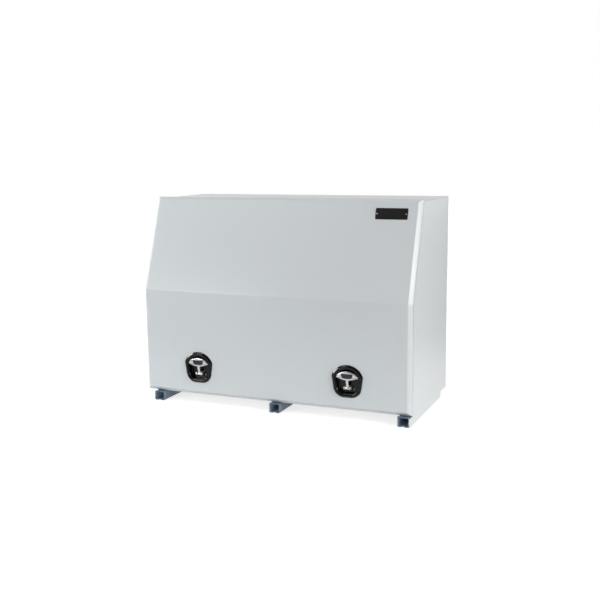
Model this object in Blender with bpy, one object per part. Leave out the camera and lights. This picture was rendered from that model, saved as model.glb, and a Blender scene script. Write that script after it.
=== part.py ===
"""Ute tool box: a white sheet steel box with a kinked lift-up front door,
two folding T-handle locks, a name plate and three channel feet.
Metres, Z up, front towards -Y, standing on Z = 0."""

import math

import bmesh
import bpy
from mathutils import Vector

# Body of the box
BODY_WIDTH = 1.220
BODY_DEPTH = 0.544
BODY_HEIGHT = 0.885
KINK_HEIGHT = 0.491
FRONT_TILT_DEG = 20.0
PANEL_SHEET = 0.0015
BODY_KINK_CORE = -0.012
PANEL_FOLD = 0.0015
PANEL_EDGE = 0.0005
FLOOR_UPTURN = 0.018
BACK_HEM_HEIGHT = 0.026
BACK_HEM_DEPTH = 0.012

# Clearances
SEAT_GAP = 0.0003
RUNNING_GAP = 0.0001
KNUCKLE_CLEARANCE = 0.0004
CUT_OVERRUN = 0.010

# Skirt of the right side panel
SKIRT_REAR = 0.449
TOE_REACH = 0.035
TOE_HEIGHT = 0.038

# Front frame and its seal
FRAME_SHEET = 0.002
FRAME_SIDE = 0.030
FRAME_TOP = 0.045
FRAME_BOTTOM = 0.043
LIP_REACH = 0.014
FRAME_FOLD = 0.0015
SEAL_LEG = 0.0013
SEAL_FOOT = 0.004
SEAL_BULB = 0.005

# Door
DOOR_SHEET = 0.0016
DOOR_REACH = 0.026
DOOR_RIM_REACH = 0.010
DOOR_BACK_GAP = 0.003
DOOR_BEVEL = 0.016
DOOR_BOTTOM_RAISE = 0.001
DOOR_KINK_CORE = 0.001
DOOR_FOLD = 0.0016
DOOR_LIP_RISE = 0.0014
DOOR_LIP_CUT = 0.0053
DOOR_LIP_CORNER = 0.003

# Piano hinge
KNUCKLE_RADIUS = 0.003
PIN_RADIUS = 0.0015
LEAF_SHEET = 0.0012
LEAF_DROP = 0.024
LEAF_END = 0.010
KNUCKLE_COUNT = 18
KNUCKLE_GAP = 0.0004
RAIL_SHEET = 0.0016
RAIL_START = 0.004
RAIL_END = 0.020
RAIL_FOOT = 0.0115

# Door stiffeners
STIFFENER_SHEET = 0.0012
STIFFENER_HALF = 0.023
STIFFENER_CROWN_HALF = 0.013
STIFFENER_BACK = 0.0044
STIFFENER_END = 0.061
STIFFENER_BOTTOM = 0.100
STIFFENER_TOP_DROP = 0.074
STIFFENER_FOLD = 0.001

# Domed rivet and screw heads, as shares of the radius and of the rise
DOME_SHARES = ((1.0, 0.0), (0.82, 0.6), (0.45, 0.92), (0.0, 1.0))

# Name plate
PLATE_WIDTH = 0.135
PLATE_HEIGHT = 0.047
PLATE_SHEET = 0.001
PLATE_CORNER = 0.0045
PLATE_SIDE = 0.038
PLATE_DROP = 0.027
PLATE_RIVET_INSET = 0.0065
RIVET_HEAD = 0.0033
RIVET_RISE = 0.0014
RIVET_SHANK = 0.0015
RIVET_TAIL = 0.0026
RIVET_TAIL_DEPTH = 0.003

# Locks
LOCK_END = 0.267
BEZEL_BOTTOM = 0.0965
BEZEL_CORNER = 0.045
CROWN_HEIGHT = 0.160
CROWN_RADIUS = 0.072
SHOULDER_HALF = 0.0675
SHOULDER_RADIUS = 0.010
SIDE_TAPER_DEG = 8.0
RIM_CREST = 0.034
RIM_EDGE_RISE = 0.0016
RIM_WIDTH = 0.018
RIM_CREST_IN = 0.008
RECESS_FLOOR = 0.008
RECESS_FILLET = 0.003
DISH_SHEET = 0.0016
HULL_GAP = 0.0006
SPINDLE_HEIGHT = 0.134
SPINDLE_RADIUS = 0.005
STUD_RADIUS = 0.004
PIVOT_REACH = 0.019
PIVOT_PIN = 0.0025
HUB_RADIUS = 0.0075
HUB_HALF = 0.0072
HUB_PLAY = 0.0008
FORK_HALF = 0.016
FORK_RISE = 0.010
FORK_BASE = 0.0027
EAR_RADIUS = 0.0085
STEM_HALF = 0.0062
HEAD_HEIGHT = 0.1805
HEAD_HALF_WIDTH = 0.0475
HEAD_RISE = 0.026
HEAD_FALL = 0.012
HEAD_FRONT = 0.0335
HEAD_BACK = 0.0230
HEAD_EDGE = 0.0030
HEAD_BOW = 0.0065
COVER_HALF_WIDTH = 0.025
COVER_HEIGHT = 0.0205
COVER_TOP_RISE = 0.0155
COVER_DEPTH = 0.0016
COVER_STAND = 0.0006
HEAD_RING_SHARES = (
    (0.72, 0.0, 1.0), (0.93, 0.1, 1.0), (1.0, 0.32, 0.7), (1.0, 0.72, 0.18),
    (0.96, 0.9, -0.05), (0.86, 1.0, -0.1),
)
STEM_TUCK_SHARE = 0.6
STEM_NECK_SHARE = 0.2
STEM_BEND_SHARE = 0.5
STEM_TOP_SHARE = 0.92
STEM_FRONT_SHARE = 0.45
HEAD_TOP_POWER = 1.2
HEAD_BASE_POWER = 2.2
COVER_SIDE_POWER = 0.6
COVER_BASE_POWER = 0.7
CAM_START = 0.0035
CAM_SHEET = 0.003
CAM_LENGTH = 0.062
CAM_HALF = 0.009
CAM_BOSS = 0.011
CAM_NUT_FLAT = 0.0065
CAM_NUT_THICK = 0.005
CLAMP_HEIGHT = 0.024
CLAMP_SHEET = 0.0015
CLAMP_HALF = 0.052
CLAMP_FOOT = 0.015
SCREW_X = 0.0245
SCREW_DROP = 0.005
SCREW_SHANK = 0.002
SCREW_HEAD = 0.004
SCREW_RISE = 0.0022
SCREW_TAIL = 0.004

# Gas struts
STRUT_SIDE = 0.055
STRUT_BODY_Y = 0.345
STRUT_BODY_DROP = 0.125
STRUT_DOOR_DROP = 0.140
STRUT_DOOR_IN = 0.025
STRUT_CYLINDER = 0.009
STRUT_ROD = 0.004
STRUT_EYE = 0.008
STRUT_EYE_HALF = 0.005
STRUT_ROD_END_SHARE = 0.75
STRUT_EYE_BORE = 0.0041
STRUT_NECK = 0.018
STRUT_TOP_SPACE = 0.040
STRUT_TAIL = 0.026
STRUT_ROD_GAP = 0.0003
STUD_ROOT = 0.0058
BRACKET_SHEET = 0.0015
BRACKET_HALF = 0.018
BRACKET_FOOT = 0.014
BRACKET_LENGTH = 0.046
DOOR_BRACKET_HALF = 0.014
DOOR_BRACKET_IN = 0.034

# Feet
FOOT_HEIGHT = 0.0397
FOOT_WIDTH = 0.0465
FOOT_SHEET = 0.0025
FOOT_FOLD = 0.0015
FOOT_LIP = 0.011
FOOT_LIP_RISE = 0.009
FOOT_LEFT_INSET = 0.0445
FOOT_RIGHT_INSET = 0.006
FOOT_BOLT_BACK = 0.027
FOOT_BOLT_HEIGHT = 0.0305
FOOT_BOLT_RADIUS = 0.003
FOOT_BOLT_FLAT = 0.005
FOOT_BOLT_HEAD = 0.0065
FOOT_BOLT_TIP = 0.0015
FLOOR_RIVET_SHANK = 0.0024
FLOOR_RIVET_HEAD = 0.005
FLOOR_RIVET_RISE = 0.0020
FLOOR_RIVET_TAIL = 0.0036
FLOOR_RIVET_TAIL_DEPTH = 0.003
FLOOR_RIVET_FRONT_SHARE = 0.28
FLOOR_RIVET_REAR_SHARE = 0.88

# Fineness of the round shapes
KINK_STEPS = 4
FOLD_STEPS = 2
CORNER_STEPS = 4
ROUND_STEPS = 16
HOLE_STEPS = 12
KNUCKLE_STEPS = 10
FASTENER_STEPS = 10
RIM_STEPS = 3
CROWN_STEPS = 6
SHOULDER_STEPS = 2
BASE_STEPS = 6
HEAD_STEPS = 28
SMOOTH_DEG = 35.0
MERGE_NEAR = 0.000001

HALF = BODY_WIDTH / 2
TILT = math.radians(FRONT_TILT_DEG)
SIN = math.sin(TILT)
COS = math.cos(TILT)
FLOOR_UNDER = FOOT_HEIGHT + SEAT_GAP
UNDER_TOP = BODY_HEIGHT - PANEL_SHEET
INSIDE_X = HALF - PANEL_SHEET
LEAF_HALF = HALF - LEAF_END
RAIL_HALF = HALF - RAIL_END
STIFFENER_SIDE_X = HALF - STIFFENER_END
LOCK_X = HALF - LOCK_END
STRUT_X = HALF - STRUT_SIDE
STRUT_BODY_Z = BODY_HEIGHT - STRUT_BODY_DROP
FOOT_LEFT_X = -HALF + FOOT_LEFT_INSET + FOOT_WIDTH
FOOT_RIGHT_X = HALF - FOOT_RIGHT_INSET
BODY_TOP_S = (BODY_HEIGHT - KINK_HEIGHT) / COS
HINGE_O = SEAT_GAP + LEAF_SHEET + SEAT_GAP / 2
HINGE_S = BODY_TOP_S + math.sqrt((KNUCKLE_RADIUS + KNUCKLE_CLEARANCE) ** 2 - HINGE_O ** 2)
DOOR_TOP_S = HINGE_S + DOOR_LIP_RISE
DOOR_BOTTOM = FLOOR_UNDER + DOOR_BOTTOM_RAISE
OPEN_X = HALF - FRAME_SIDE
OPEN_S = BODY_TOP_S - FRAME_TOP
OPEN_Z = FLOOR_UNDER + FRAME_BOTTOM
SKIN_INSIDE = DOOR_REACH - DOOR_SHEET
SHIFT = Vector((0, (TOE_REACH - BODY_DEPTH) / 2, 0))

for old in list(bpy.data.objects):
    bpy.data.objects.remove(old, do_unlink=True)


def make_material(name, colour, roughness, metallic):
    mat = bpy.data.materials.new(name)
    mat.use_nodes = True
    shader = mat.node_tree.nodes["Principled BSDF"]
    shader.inputs["Base Color"].default_value = (*colour, 1.0)
    shader.inputs["Roughness"].default_value = roughness
    shader.inputs["Metallic"].default_value = metallic
    mat.diffuse_color = (*colour, 1.0)
    return mat


WHITE = make_material("white_powder_coat", (0.78, 0.79, 0.79), 0.32, 0.0)
INNER = make_material("white_inner_coat", (0.74, 0.75, 0.75), 0.45, 0.0)
ZINC = make_material("galvanised_steel", (0.50, 0.52, 0.55), 0.42, 1.0)
CHROME = make_material("chrome", (0.78, 0.79, 0.80), 0.10, 1.0)
BLACK = make_material("gloss_black_plastic", (0.012, 0.012, 0.014), 0.12, 0.0)
DARK = make_material("dark_cover_plastic", (0.03, 0.03, 0.04), 0.18, 0.0)
PAINT = make_material("dark_strut_paint", (0.03, 0.03, 0.035), 0.35, 0.0)
RUBBER = make_material("seal_rubber", (0.02, 0.02, 0.02), 0.70, 0.0)
PLATE = make_material("name_plate_black", (0.014, 0.014, 0.015), 0.35, 0.0)
STEEL = make_material("plain_steel", (0.55, 0.55, 0.56), 0.35, 1.0)


def unit(v):
    size = math.hypot(v[0], v[1])
    return (v[0] / size, v[1] / size)


def strip_outline(path, sheet, inner):
    """Outline of a folded strip: path is one face, the sheet lies to its left
    (right when negative), inner is the inside radius of every fold."""
    near = []
    far = []
    thick = abs(sheet)
    count = len(path)
    for i, corner in enumerate(path):
        before = unit((corner[0] - path[i - 1][0], corner[1] - path[i - 1][1])) if i else None
        after = None
        if i < count - 1:
            after = unit((path[i + 1][0] - corner[0], path[i + 1][1] - corner[1]))
        if before is None or after is None:
            way = after or before
            n = (-way[1], way[0])
            near.append(corner)
            far.append((corner[0] + n[0] * sheet, corner[1] + n[1] * sheet))
            continue
        turn = before[0] * after[1] - before[1] * after[0]
        n1 = (-before[1], before[0])
        n2 = (-after[1], after[0])
        side = 1 if turn > 0 else -1
        inside = (turn > 0) == (sheet > 0)
        radius = inner + thick if inside else inner
        m = 1 + n1[0] * n2[0] + n1[1] * n2[1]
        cx = corner[0] + side * radius * (n1[0] + n2[0]) / m
        cy = corner[1] + side * radius * (n1[1] + n2[1]) / m
        a1 = math.atan2(n1[1], n1[0])
        sweep = math.atan2(turn, before[0] * after[0] + before[1] * after[1])
        for k in range(FOLD_STEPS + 1):
            a = a1 + sweep * k / FOLD_STEPS
            n = (math.cos(a), math.sin(a))
            p = (cx - side * radius * n[0], cy - side * radius * n[1])
            near.append(p)
            far.append((p[0] + n[0] * sheet, p[1] + n[1] * sheet))
    return near + far[::-1]


def sloped(x, s, o):
    """Point on the upper front: s up the slope from the kink, o out of it."""
    return Vector((x, s * SIN - o * COS, KINK_HEIGHT + s * COS + o * SIN))


def kink_arc(x, o, core):
    """Points of the bend between lower and upper front, from low to high."""
    half = TILT / 2
    reach = core / math.cos(half)
    cy = -math.cos(half) * reach
    cz = KINK_HEIGHT + math.sin(half) * reach
    row = []
    for i in range(KINK_STEPS + 1):
        a = TILT * i / KINK_STEPS
        row.append(Vector((x, cy - math.cos(a) * (o - core), cz + math.sin(a) * (o - core))))
    return row


def front_ring(half, top, bottom, o, core):
    """One turn round the kinked front: half width, top along the slope,
    bottom height, distance o out of the front plane."""
    ring = [Vector((-half, -o, bottom)), Vector((half, -o, bottom))]
    ring += kink_arc(half, o, core)
    ring += [sloped(half, top, o), sloped(-half, top, o)]
    ring += kink_arc(-half, o, core)[::-1]
    return ring


def bridge_rings(rings, closed):
    """Joins rings of equal length by faces; closed joins the last to the first."""
    bm = bmesh.new()
    rows = [[bm.verts.new(p) for p in ring] for ring in rings]
    pairs = list(zip(rows, rows[1:]))
    if closed:
        pairs.append((rows[-1], rows[0]))
    for low, high in pairs:
        size = len(low)
        for i in range(size):
            j = (i + 1) % size
            bm.faces.new((low[i], low[j], high[j], high[i]))
    return bm, rows


def close_front(bm, row):
    """Closes a ring of the kinked front by a lower, a bent and an upper face."""
    n = KINK_STEPS + 1
    right = row[2:2 + n]
    left = row[4 + n:4 + 2 * n][::-1]
    bm.faces.new((row[0], row[1], right[0], left[0]))
    for i in range(n - 1):
        bm.faces.new((left[i], right[i], right[i + 1], left[i + 1]))
    bm.faces.new((left[-1], right[-1], row[2 + n], row[3 + n]))


def slab(points, place, start, finish):
    """Extrudes a flat outline; place(u, v, w) gives the point in the box."""
    bm = bmesh.new()
    face = bm.faces.new([bm.verts.new(place(u, v, start)) for u, v in points])
    grown = bmesh.ops.extrude_face_region(bm, geom=[face])
    moved = [g for g in grown["geom"] if isinstance(g, bmesh.types.BMVert)]
    shift = place(0, 0, finish) - place(0, 0, start)
    bmesh.ops.translate(bm, verts=moved, vec=shift)
    return bm


def along_x(u, v, w):
    return Vector((w, u, v))


def along_y(u, v, w):
    return Vector((u, w, v))


def along_z(u, v, w):
    return Vector((u, v, w))


def out_of_slope(u, v, w):
    return sloped(u, v, w)


def turned(profile, base, axis, steps, closed=False):
    """Spins a profile of (radius, distance along the axis) round the axis."""
    axis = axis.normalized()
    side = axis.orthogonal().normalized()
    bm = bmesh.new()
    verts = [bm.verts.new(base + side * r + axis * h) for r, h in profile]
    edges = [bm.edges.new(pair) for pair in zip(verts, verts[1:])]
    if closed:
        edges.append(bm.edges.new((verts[-1], verts[0])))
    bmesh.ops.spin(bm, geom=verts + edges, cent=base, axis=axis, angle=math.tau,
                   steps=steps, use_merge=True, use_duplicate=False)
    bmesh.ops.remove_doubles(bm, verts=bm.verts[:], dist=MERGE_NEAR)
    return bm


def join_mesh(target, source):
    """Adds the faces of one mesh to another."""
    seen = {}
    for v in source.verts:
        seen[v] = target.verts.new(v.co)
    for f in source.faces:
        target.faces.new([seen[v] for v in f.verts])
    source.free()


def mean(points):
    total = Vector((0, 0, 0))
    for p in points:
        total += p
    return total / len(points)


def add_piece(name, bm, mat, parent=None, pivot=None, smooth=True):
    """Makes the named piece with its origin on pivot and its faces out."""
    bmesh.ops.recalc_face_normals(bm, faces=bm.faces[:])
    if pivot is None:
        pivot = mean([v.co for v in bm.verts])
    bmesh.ops.translate(bm, verts=bm.verts[:], vec=-pivot)
    mesh = bpy.data.meshes.new(name)
    bm.to_mesh(mesh)
    bm.free()
    obj = bpy.data.objects.new(name, mesh)
    bpy.context.collection.objects.link(obj)
    obj.data.materials.append(mat)
    if smooth:
        mesh.shade_smooth()
        mesh.set_sharp_from_angle(angle=math.radians(SMOOTH_DEG))
    if parent is None:
        obj.location = pivot + SHIFT
    else:
        obj.parent = parent
        obj.location = pivot - Vector(parent["at"])
    return obj


def add_axis(name, point, parent=None):
    """Empty on a joint axis; the pieces that move with it hang on it."""
    obj = bpy.data.objects.new(name, None)
    bpy.context.collection.objects.link(obj)
    obj["at"] = point[:]
    if parent is None:
        obj.location = point + SHIFT
    else:
        obj.parent = parent
        obj.location = point - Vector(parent["at"])
    return obj


def helper(name, bm, parent=None):
    """Hidden shape that another piece is cut or joined with."""
    obj = add_piece(name, bm, ZINC, parent, smooth=False)
    obj.hide_render = True
    obj.display_type = "WIRE"
    return obj


def combine(target, tool, operation):
    mod = target.modifiers.new(operation.lower(), "BOOLEAN")
    mod.operation = operation
    mod.solver = "EXACT"
    mod.object = tool


def soften(target, width):
    mod = target.modifiers.new("edge", "BEVEL")
    mod.width = width
    mod.segments = 2
    mod.limit_method = "ANGLE"


def block(low, high):
    """Box between two corners."""
    outline = [(low[0], low[1]), (high[0], low[1]), (high[0], high[1]), (low[0], high[1])]
    return slab(outline, along_z, low[2], high[2])


def rod(base, axis, radius, start, finish, steps=ROUND_STEPS):
    profile = [(0, start), (radius, start), (radius, finish), (0, finish)]
    return turned(profile, base, axis, steps)


def tube(base, axis, inner, outer, start, finish, steps=ROUND_STEPS):
    profile = [(inner, start), (outer, start), (outer, finish), (inner, finish)]
    return turned(profile, base, axis, steps, closed=True)


def dome(radius, seat, rise):
    """Profile of a domed head from its edge to the axis."""
    return [(radius * wide, seat + rise * high) for wide, high in DOME_SHARES]


X_AXIS = Vector((1, 0, 0))
Y_AXIS = Vector((0, 1, 0))
Z_AXIS = Vector((0, 0, 1))

# Top, back and floor panels
top_outline = [
    (BODY_TOP_S * SIN, BODY_HEIGHT),
    ((UNDER_TOP - KINK_HEIGHT) * SIN / COS, UNDER_TOP),
    (BODY_DEPTH, UNDER_TOP),
    (BODY_DEPTH, BODY_HEIGHT),
]
top_panel = add_piece("top_panel", slab(top_outline, along_x, -HALF, HALF), WHITE)
soften(top_panel, PANEL_EDGE)

WALL_TOP = UNDER_TOP - SEAT_GAP
INNER_X = INSIDE_X - SEAT_GAP
back_path = [
    (BODY_DEPTH, WALL_TOP),
    (BODY_DEPTH, BACK_HEM_HEIGHT),
    (BODY_DEPTH - BACK_HEM_DEPTH, BACK_HEM_HEIGHT),
]
back_outline = strip_outline(back_path, -PANEL_SHEET, PANEL_FOLD)
add_piece("back_panel", slab(back_outline, along_x, -INNER_X, INNER_X), WHITE)

FLOOR_FRONT = FRAME_SHEET + SEAT_GAP
FLOOR_REAR = BODY_DEPTH - PANEL_SHEET - SEAT_GAP
floor_path = [
    (FLOOR_FRONT, FLOOR_UNDER + FLOOR_UPTURN),
    (FLOOR_FRONT, FLOOR_UNDER),
    (FLOOR_REAR, FLOOR_UNDER),
    (FLOOR_REAR, FLOOR_UNDER + FLOOR_UPTURN),
]
floor_outline = strip_outline(floor_path, PANEL_SHEET, PANEL_FOLD)
floor_panel = add_piece("floor_panel", slab(floor_outline, along_x, -INNER_X, INNER_X), INNER)

# Side panels
front_edge = [(p.y, p.z) for p in kink_arc(0, 0, BODY_KINK_CORE)]
wall_top_y = (WALL_TOP - KINK_HEIGHT) * SIN / COS
left_outline = [(0, FLOOR_UNDER)] + front_edge
left_outline += [(wall_top_y, WALL_TOP), (BODY_DEPTH, WALL_TOP), (BODY_DEPTH, FLOOR_UNDER)]
add_piece("side_panel_left", slab(left_outline, along_x, -HALF, -INSIDE_X), WHITE)

right_outline = [(-TOE_REACH, 0), (-TOE_REACH, TOE_HEIGHT), (0, TOE_HEIGHT)] + front_edge
right_outline += [(wall_top_y, WALL_TOP), (BODY_DEPTH, WALL_TOP), (BODY_DEPTH, BACK_HEM_HEIGHT)]
right_outline += [(SKIRT_REAR, BACK_HEM_HEIGHT), (SKIRT_REAR, 0)]
side_right = add_piece("side_panel_right", slab(right_outline, along_x, INSIDE_X, HALF), WHITE)
flange_path = [
    (FOOT_RIGHT_X + SEAT_GAP, -TOE_REACH),
    (HALF, -TOE_REACH),
    (HALF, -TOE_REACH + FOOT_LIP),
]
flange_outline = strip_outline(flange_path, PANEL_SHEET, PANEL_FOLD)
flange_tool = helper("toe_flange_shape", slab(flange_outline, along_z, 0, TOE_HEIGHT))
corner_tool = helper("toe_corner_cut", block(
    (INSIDE_X - CUT_OVERRUN, -TOE_REACH - CUT_OVERRUN, -CUT_OVERRUN),
    (HALF + CUT_OVERRUN, -TOE_REACH + PANEL_FOLD + PANEL_SHEET, TOE_HEIGHT + CUT_OVERRUN)))
combine(side_right, corner_tool, "DIFFERENCE")
combine(side_right, flange_tool, "UNION")

# Front frame: face flange round the opening with a lip for the seal
FRAME_X = INNER_X
FRAME_S = (WALL_TOP - KINK_HEIGHT) / COS
lip_path = [(FRAME_SIDE / 2, 0), (FRAME_SHEET, 0), (FRAME_SHEET, LIP_REACH)]
lip_fold = strip_outline(lip_path, FRAME_SHEET, FRAME_FOLD)
frame_rings = [
    front_ring(FRAME_X, FRAME_S, FLOOR_UNDER, 0, BODY_KINK_CORE),
]
for w, o in lip_fold[1:-1]:
    frame_rings.append(front_ring(OPEN_X + w, OPEN_S + w, OPEN_Z - w, o, BODY_KINK_CORE))
frame_rings.append(front_ring(FRAME_X, FRAME_S, FLOOR_UNDER, -FRAME_SHEET, BODY_KINK_CORE))
frame_bm, _ = bridge_rings(frame_rings, True)
add_piece("front_frame", frame_bm, WHITE)

SEAL_MID = FRAME_SHEET / 2
SEAL_IN = SEAL_MID + SEAT_GAP
SEAL_OUT = SEAL_IN + SEAL_LEG
SEAL_CENTRE = SKIN_INSIDE - SEAT_GAP - SEAL_BULB
SEAL_ROOF = LIP_REACH + SEAT_GAP
seal_profile = [(SEAL_OUT, SEAL_FOOT)]
start_angle = math.asin(SEAL_OUT / SEAL_BULB)
for k in range(HOLE_STEPS + 1):
    a = start_angle + (math.tau - 2 * start_angle) * k / HOLE_STEPS
    seal_profile.append((SEAL_BULB * math.sin(a), SEAL_CENTRE - SEAL_BULB * math.cos(a)))
seal_profile += [
    (-SEAL_OUT, SEAL_FOOT), (-SEAL_IN, SEAL_FOOT), (-SEAL_IN, SEAL_ROOF),
    (SEAL_IN, SEAL_ROOF), (SEAL_IN, SEAL_FOOT),
]
seal_rings = []
for w, o in seal_profile:
    at = w + SEAL_MID
    seal_rings.append(front_ring(OPEN_X + at, OPEN_S + at, OPEN_Z - at, o, BODY_KINK_CORE))
seal_bm, _ = bridge_rings(seal_rings, True)
add_piece("door_seal", seal_bm, RUBBER)

# Feet
foot_right = {"left": FOOT_LEFT_X, "centre": (FOOT_LEFT_X + FOOT_RIGHT_X) / 2, "right": FOOT_RIGHT_X}
FOOT_FRONT = -TOE_REACH
FOOT_REAR = SKIRT_REAR
BOLT_Y = FOOT_FRONT + FOOT_BOLT_BACK


def hexagon(flat):
    reach = flat / math.cos(math.pi / 6)
    return [(reach * math.cos(math.pi * (i / 3 + 1 / 6)), reach * math.sin(math.pi * (i / 3 + 1 / 6)))
            for i in range(6)]


for side, x1 in foot_right.items():
    x0 = x1 - FOOT_WIDTH
    foot_path = [
        (x0 + FOOT_LIP, FOOT_LIP_RISE), (x0 + FOOT_LIP, 0), (x0, 0), (x0, FOOT_HEIGHT),
        (x1, FOOT_HEIGHT), (x1, 0), (x1 - FOOT_LIP, 0), (x1 - FOOT_LIP, FOOT_LIP_RISE),
    ]
    foot_outline = strip_outline(foot_path, -FOOT_SHEET, FOOT_FOLD)
    foot = add_piece("foot_channel_" + side, slab(foot_outline, along_y, FOOT_FRONT, FOOT_REAR), ZINC)
    bolt_base = Vector((x0, BOLT_Y, FOOT_BOLT_HEIGHT))
    hole = helper("foot_bolt_hole_" + side, rod(
        bolt_base, X_AXIS, FOOT_BOLT_RADIUS + SEAT_GAP, -CUT_OVERRUN, FOOT_WIDTH + CUT_OVERRUN,
        HOLE_STEPS))
    combine(foot, hole, "DIFFERENCE")
    tip = FOOT_WIDTH + FOOT_BOLT_TIP
    bolt = add_piece("foot_bolt_" + side, rod(
        bolt_base, X_AXIS, FOOT_BOLT_RADIUS, -SEAT_GAP - FOOT_BOLT_HEAD, tip, HOLE_STEPS), ZINC)
    head_outline = [(BOLT_Y + u, FOOT_BOLT_HEIGHT + v) for u, v in hexagon(FOOT_BOLT_FLAT)]
    head = helper("foot_bolt_head_" + side, slab(
        head_outline, along_x, x0 - SEAT_GAP - FOOT_BOLT_HEAD, x0 - SEAT_GAP))
    combine(bolt, head, "UNION")
    mid_x = (x0 + x1) / 2
    for end, share in (("front", FLOOR_RIVET_FRONT_SHARE), ("rear", FLOOR_RIVET_REAR_SHARE)):
        at = Vector((mid_x, FOOT_FRONT + (FOOT_REAR - FOOT_FRONT) * share, FLOOR_UNDER))
        hole = helper("floor_rivet_hole_" + side + "_" + end, rod(
            at, Z_AXIS, FLOOR_RIVET_SHANK + SEAT_GAP, -CUT_OVERRUN, CUT_OVERRUN, FASTENER_STEPS))
        combine(foot, hole, "DIFFERENCE")
        combine(floor_panel, hole, "DIFFERENCE")
        seat = PANEL_SHEET + SEAT_GAP
        tail = -SEAT_GAP * 2 - FOOT_SHEET
        rivet_profile = [
            (0, tail - FLOOR_RIVET_TAIL_DEPTH), (FLOOR_RIVET_TAIL, tail - FLOOR_RIVET_TAIL_DEPTH),
            (FLOOR_RIVET_TAIL, tail), (FLOOR_RIVET_SHANK, tail), (FLOOR_RIVET_SHANK, seat),
        ]
        rivet_profile += dome(FLOOR_RIVET_HEAD, seat, FLOOR_RIVET_RISE)
        add_piece("floor_rivet_" + side + "_" + end, turned(rivet_profile, at, Z_AXIS, FASTENER_STEPS),
                  ZINC)

# Piano hinge
hinge_point = sloped(0, HINGE_S, HINGE_O)
door_axis = add_axis("door_axis", hinge_point)
BORE = PIN_RADIUS + SEAT_GAP
pitch = 2 * LEAF_HALF / KNUCKLE_COUNT
TOOTH_TOP = HINGE_S - (KNUCKLE_RADIUS + BORE) / 2
TOOTH_ROOT = HINGE_S - KNUCKLE_RADIUS - KNUCKLE_CLEARANCE


def hinge_leaf(name, first, o_low, parent):
    """Comb plate with every second knuckle, starting with knuckle first."""
    tubes = bmesh.new()
    comb = [(-LEAF_HALF, HINGE_S - LEAF_DROP)]
    for i in range(KNUCKLE_COUNT):
        x0 = -LEAF_HALF + pitch * i
        x1 = x0 + pitch
        own = i % 2 == first
        if own:
            x0 += KNUCKLE_GAP / 2
            x1 -= KNUCKLE_GAP / 2
            join_mesh(tubes, tube(sloped(0, HINGE_S, HINGE_O), X_AXIS, BORE, KNUCKLE_RADIUS,
                                  x0, x1, KNUCKLE_STEPS))
            comb += [(x0, TOOTH_ROOT), (x0, TOOTH_TOP), (x1, TOOTH_TOP), (x1, TOOTH_ROOT)]
    if first == 0:
        comb[1:2] = []
        comb[0] = (comb[1][0], HINGE_S - LEAF_DROP)
    else:
        comb.insert(1, (-LEAF_HALF, TOOTH_ROOT))
    if comb[-1][0] < LEAF_HALF - pitch / 2:
        comb.append((LEAF_HALF, TOOTH_ROOT))
    else:
        comb[-1:] = []
    comb.append((comb[-1][0], HINGE_S - LEAF_DROP))
    leaf = add_piece(name, slab(comb, out_of_slope, o_low, o_low + LEAF_SHEET), ZINC, parent,
                     hinge_point.copy())
    rolls = helper(name + "_knuckles", tubes, parent)
    combine(leaf, rolls, "UNION")
    return leaf


hinge_leaf("hinge_leaf_body", 0, SEAT_GAP, None)
hinge_leaf("hinge_leaf_door", 1, SEAT_GAP * 2 + LEAF_SHEET, door_axis)
add_piece("hinge_pin", rod(hinge_point, X_AXIS, PIN_RADIUS, -LEAF_HALF, LEAF_HALF, KNUCKLE_STEPS),
          ZINC)

# Door skin: face, bevel, rim and return, folded from one sheet
skin_path = [
    (0, DOOR_BACK_GAP), (0, DOOR_RIM_REACH), (DOOR_BEVEL, DOOR_REACH),
    (DOOR_BEVEL * 2, DOOR_REACH),
]
skin_strip = strip_outline(skin_path, -DOOR_SHEET, DOOR_FOLD)
skin_rings = []
half_count = len(skin_strip) // 2
for w, o in skin_strip[:half_count - 1] + skin_strip[half_count + 1:]:
    skin_rings.append(front_ring(HALF - w, DOOR_TOP_S - w, DOOR_BOTTOM + w, o, DOOR_KINK_CORE))
turn_at = half_count - 1
skin_order = skin_rings[:turn_at][::-1] + skin_rings[turn_at:][::-1]
skin_bm, skin_rows = bridge_rings(skin_order, False)
close_front(skin_bm, skin_rows[0])
close_front(skin_bm, skin_rows[-1])
door_skin = add_piece("door_skin", skin_bm, WHITE, door_axis, hinge_point.copy())
lip_outline = [
    (-HALF + DOOR_LIP_CORNER, DOOR_TOP_S - DOOR_BEVEL),
    (HALF - DOOR_LIP_CORNER, DOOR_TOP_S - DOOR_BEVEL),
    (HALF - DOOR_LIP_CORNER, DOOR_TOP_S + CUT_OVERRUN),
    (-HALF + DOOR_LIP_CORNER, DOOR_TOP_S + CUT_OVERRUN),
]
lip_cut = helper("door_lip_cut", slab(lip_outline, out_of_slope, -CUT_OVERRUN, DOOR_LIP_CUT), door_axis)
combine(door_skin, lip_cut, "DIFFERENCE")

# Hinge rail between the door leaf and the skin
RAIL_BACK = SEAT_GAP * 3 + LEAF_SHEET * 2
RAIL_TOP = HINGE_S - RAIL_START
RAIL_LOW = HINGE_S - LEAF_DROP
RAIL_FRONT = SKIN_INSIDE - SEAT_GAP - RAIL_SHEET
rail_path = [
    (RAIL_BACK, RAIL_TOP), (RAIL_BACK, RAIL_LOW), (RAIL_FRONT, RAIL_LOW),
    (RAIL_FRONT, RAIL_LOW - RAIL_FOOT),
]
rail_strip = strip_outline(rail_path, RAIL_SHEET, RAIL_SHEET)


def rail_place(u, v, w):
    return sloped(w, v, u)


add_piece("door_hinge_rail", slab(rail_strip, rail_place, -RAIL_HALF, RAIL_HALF), INNER, door_axis)

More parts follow.
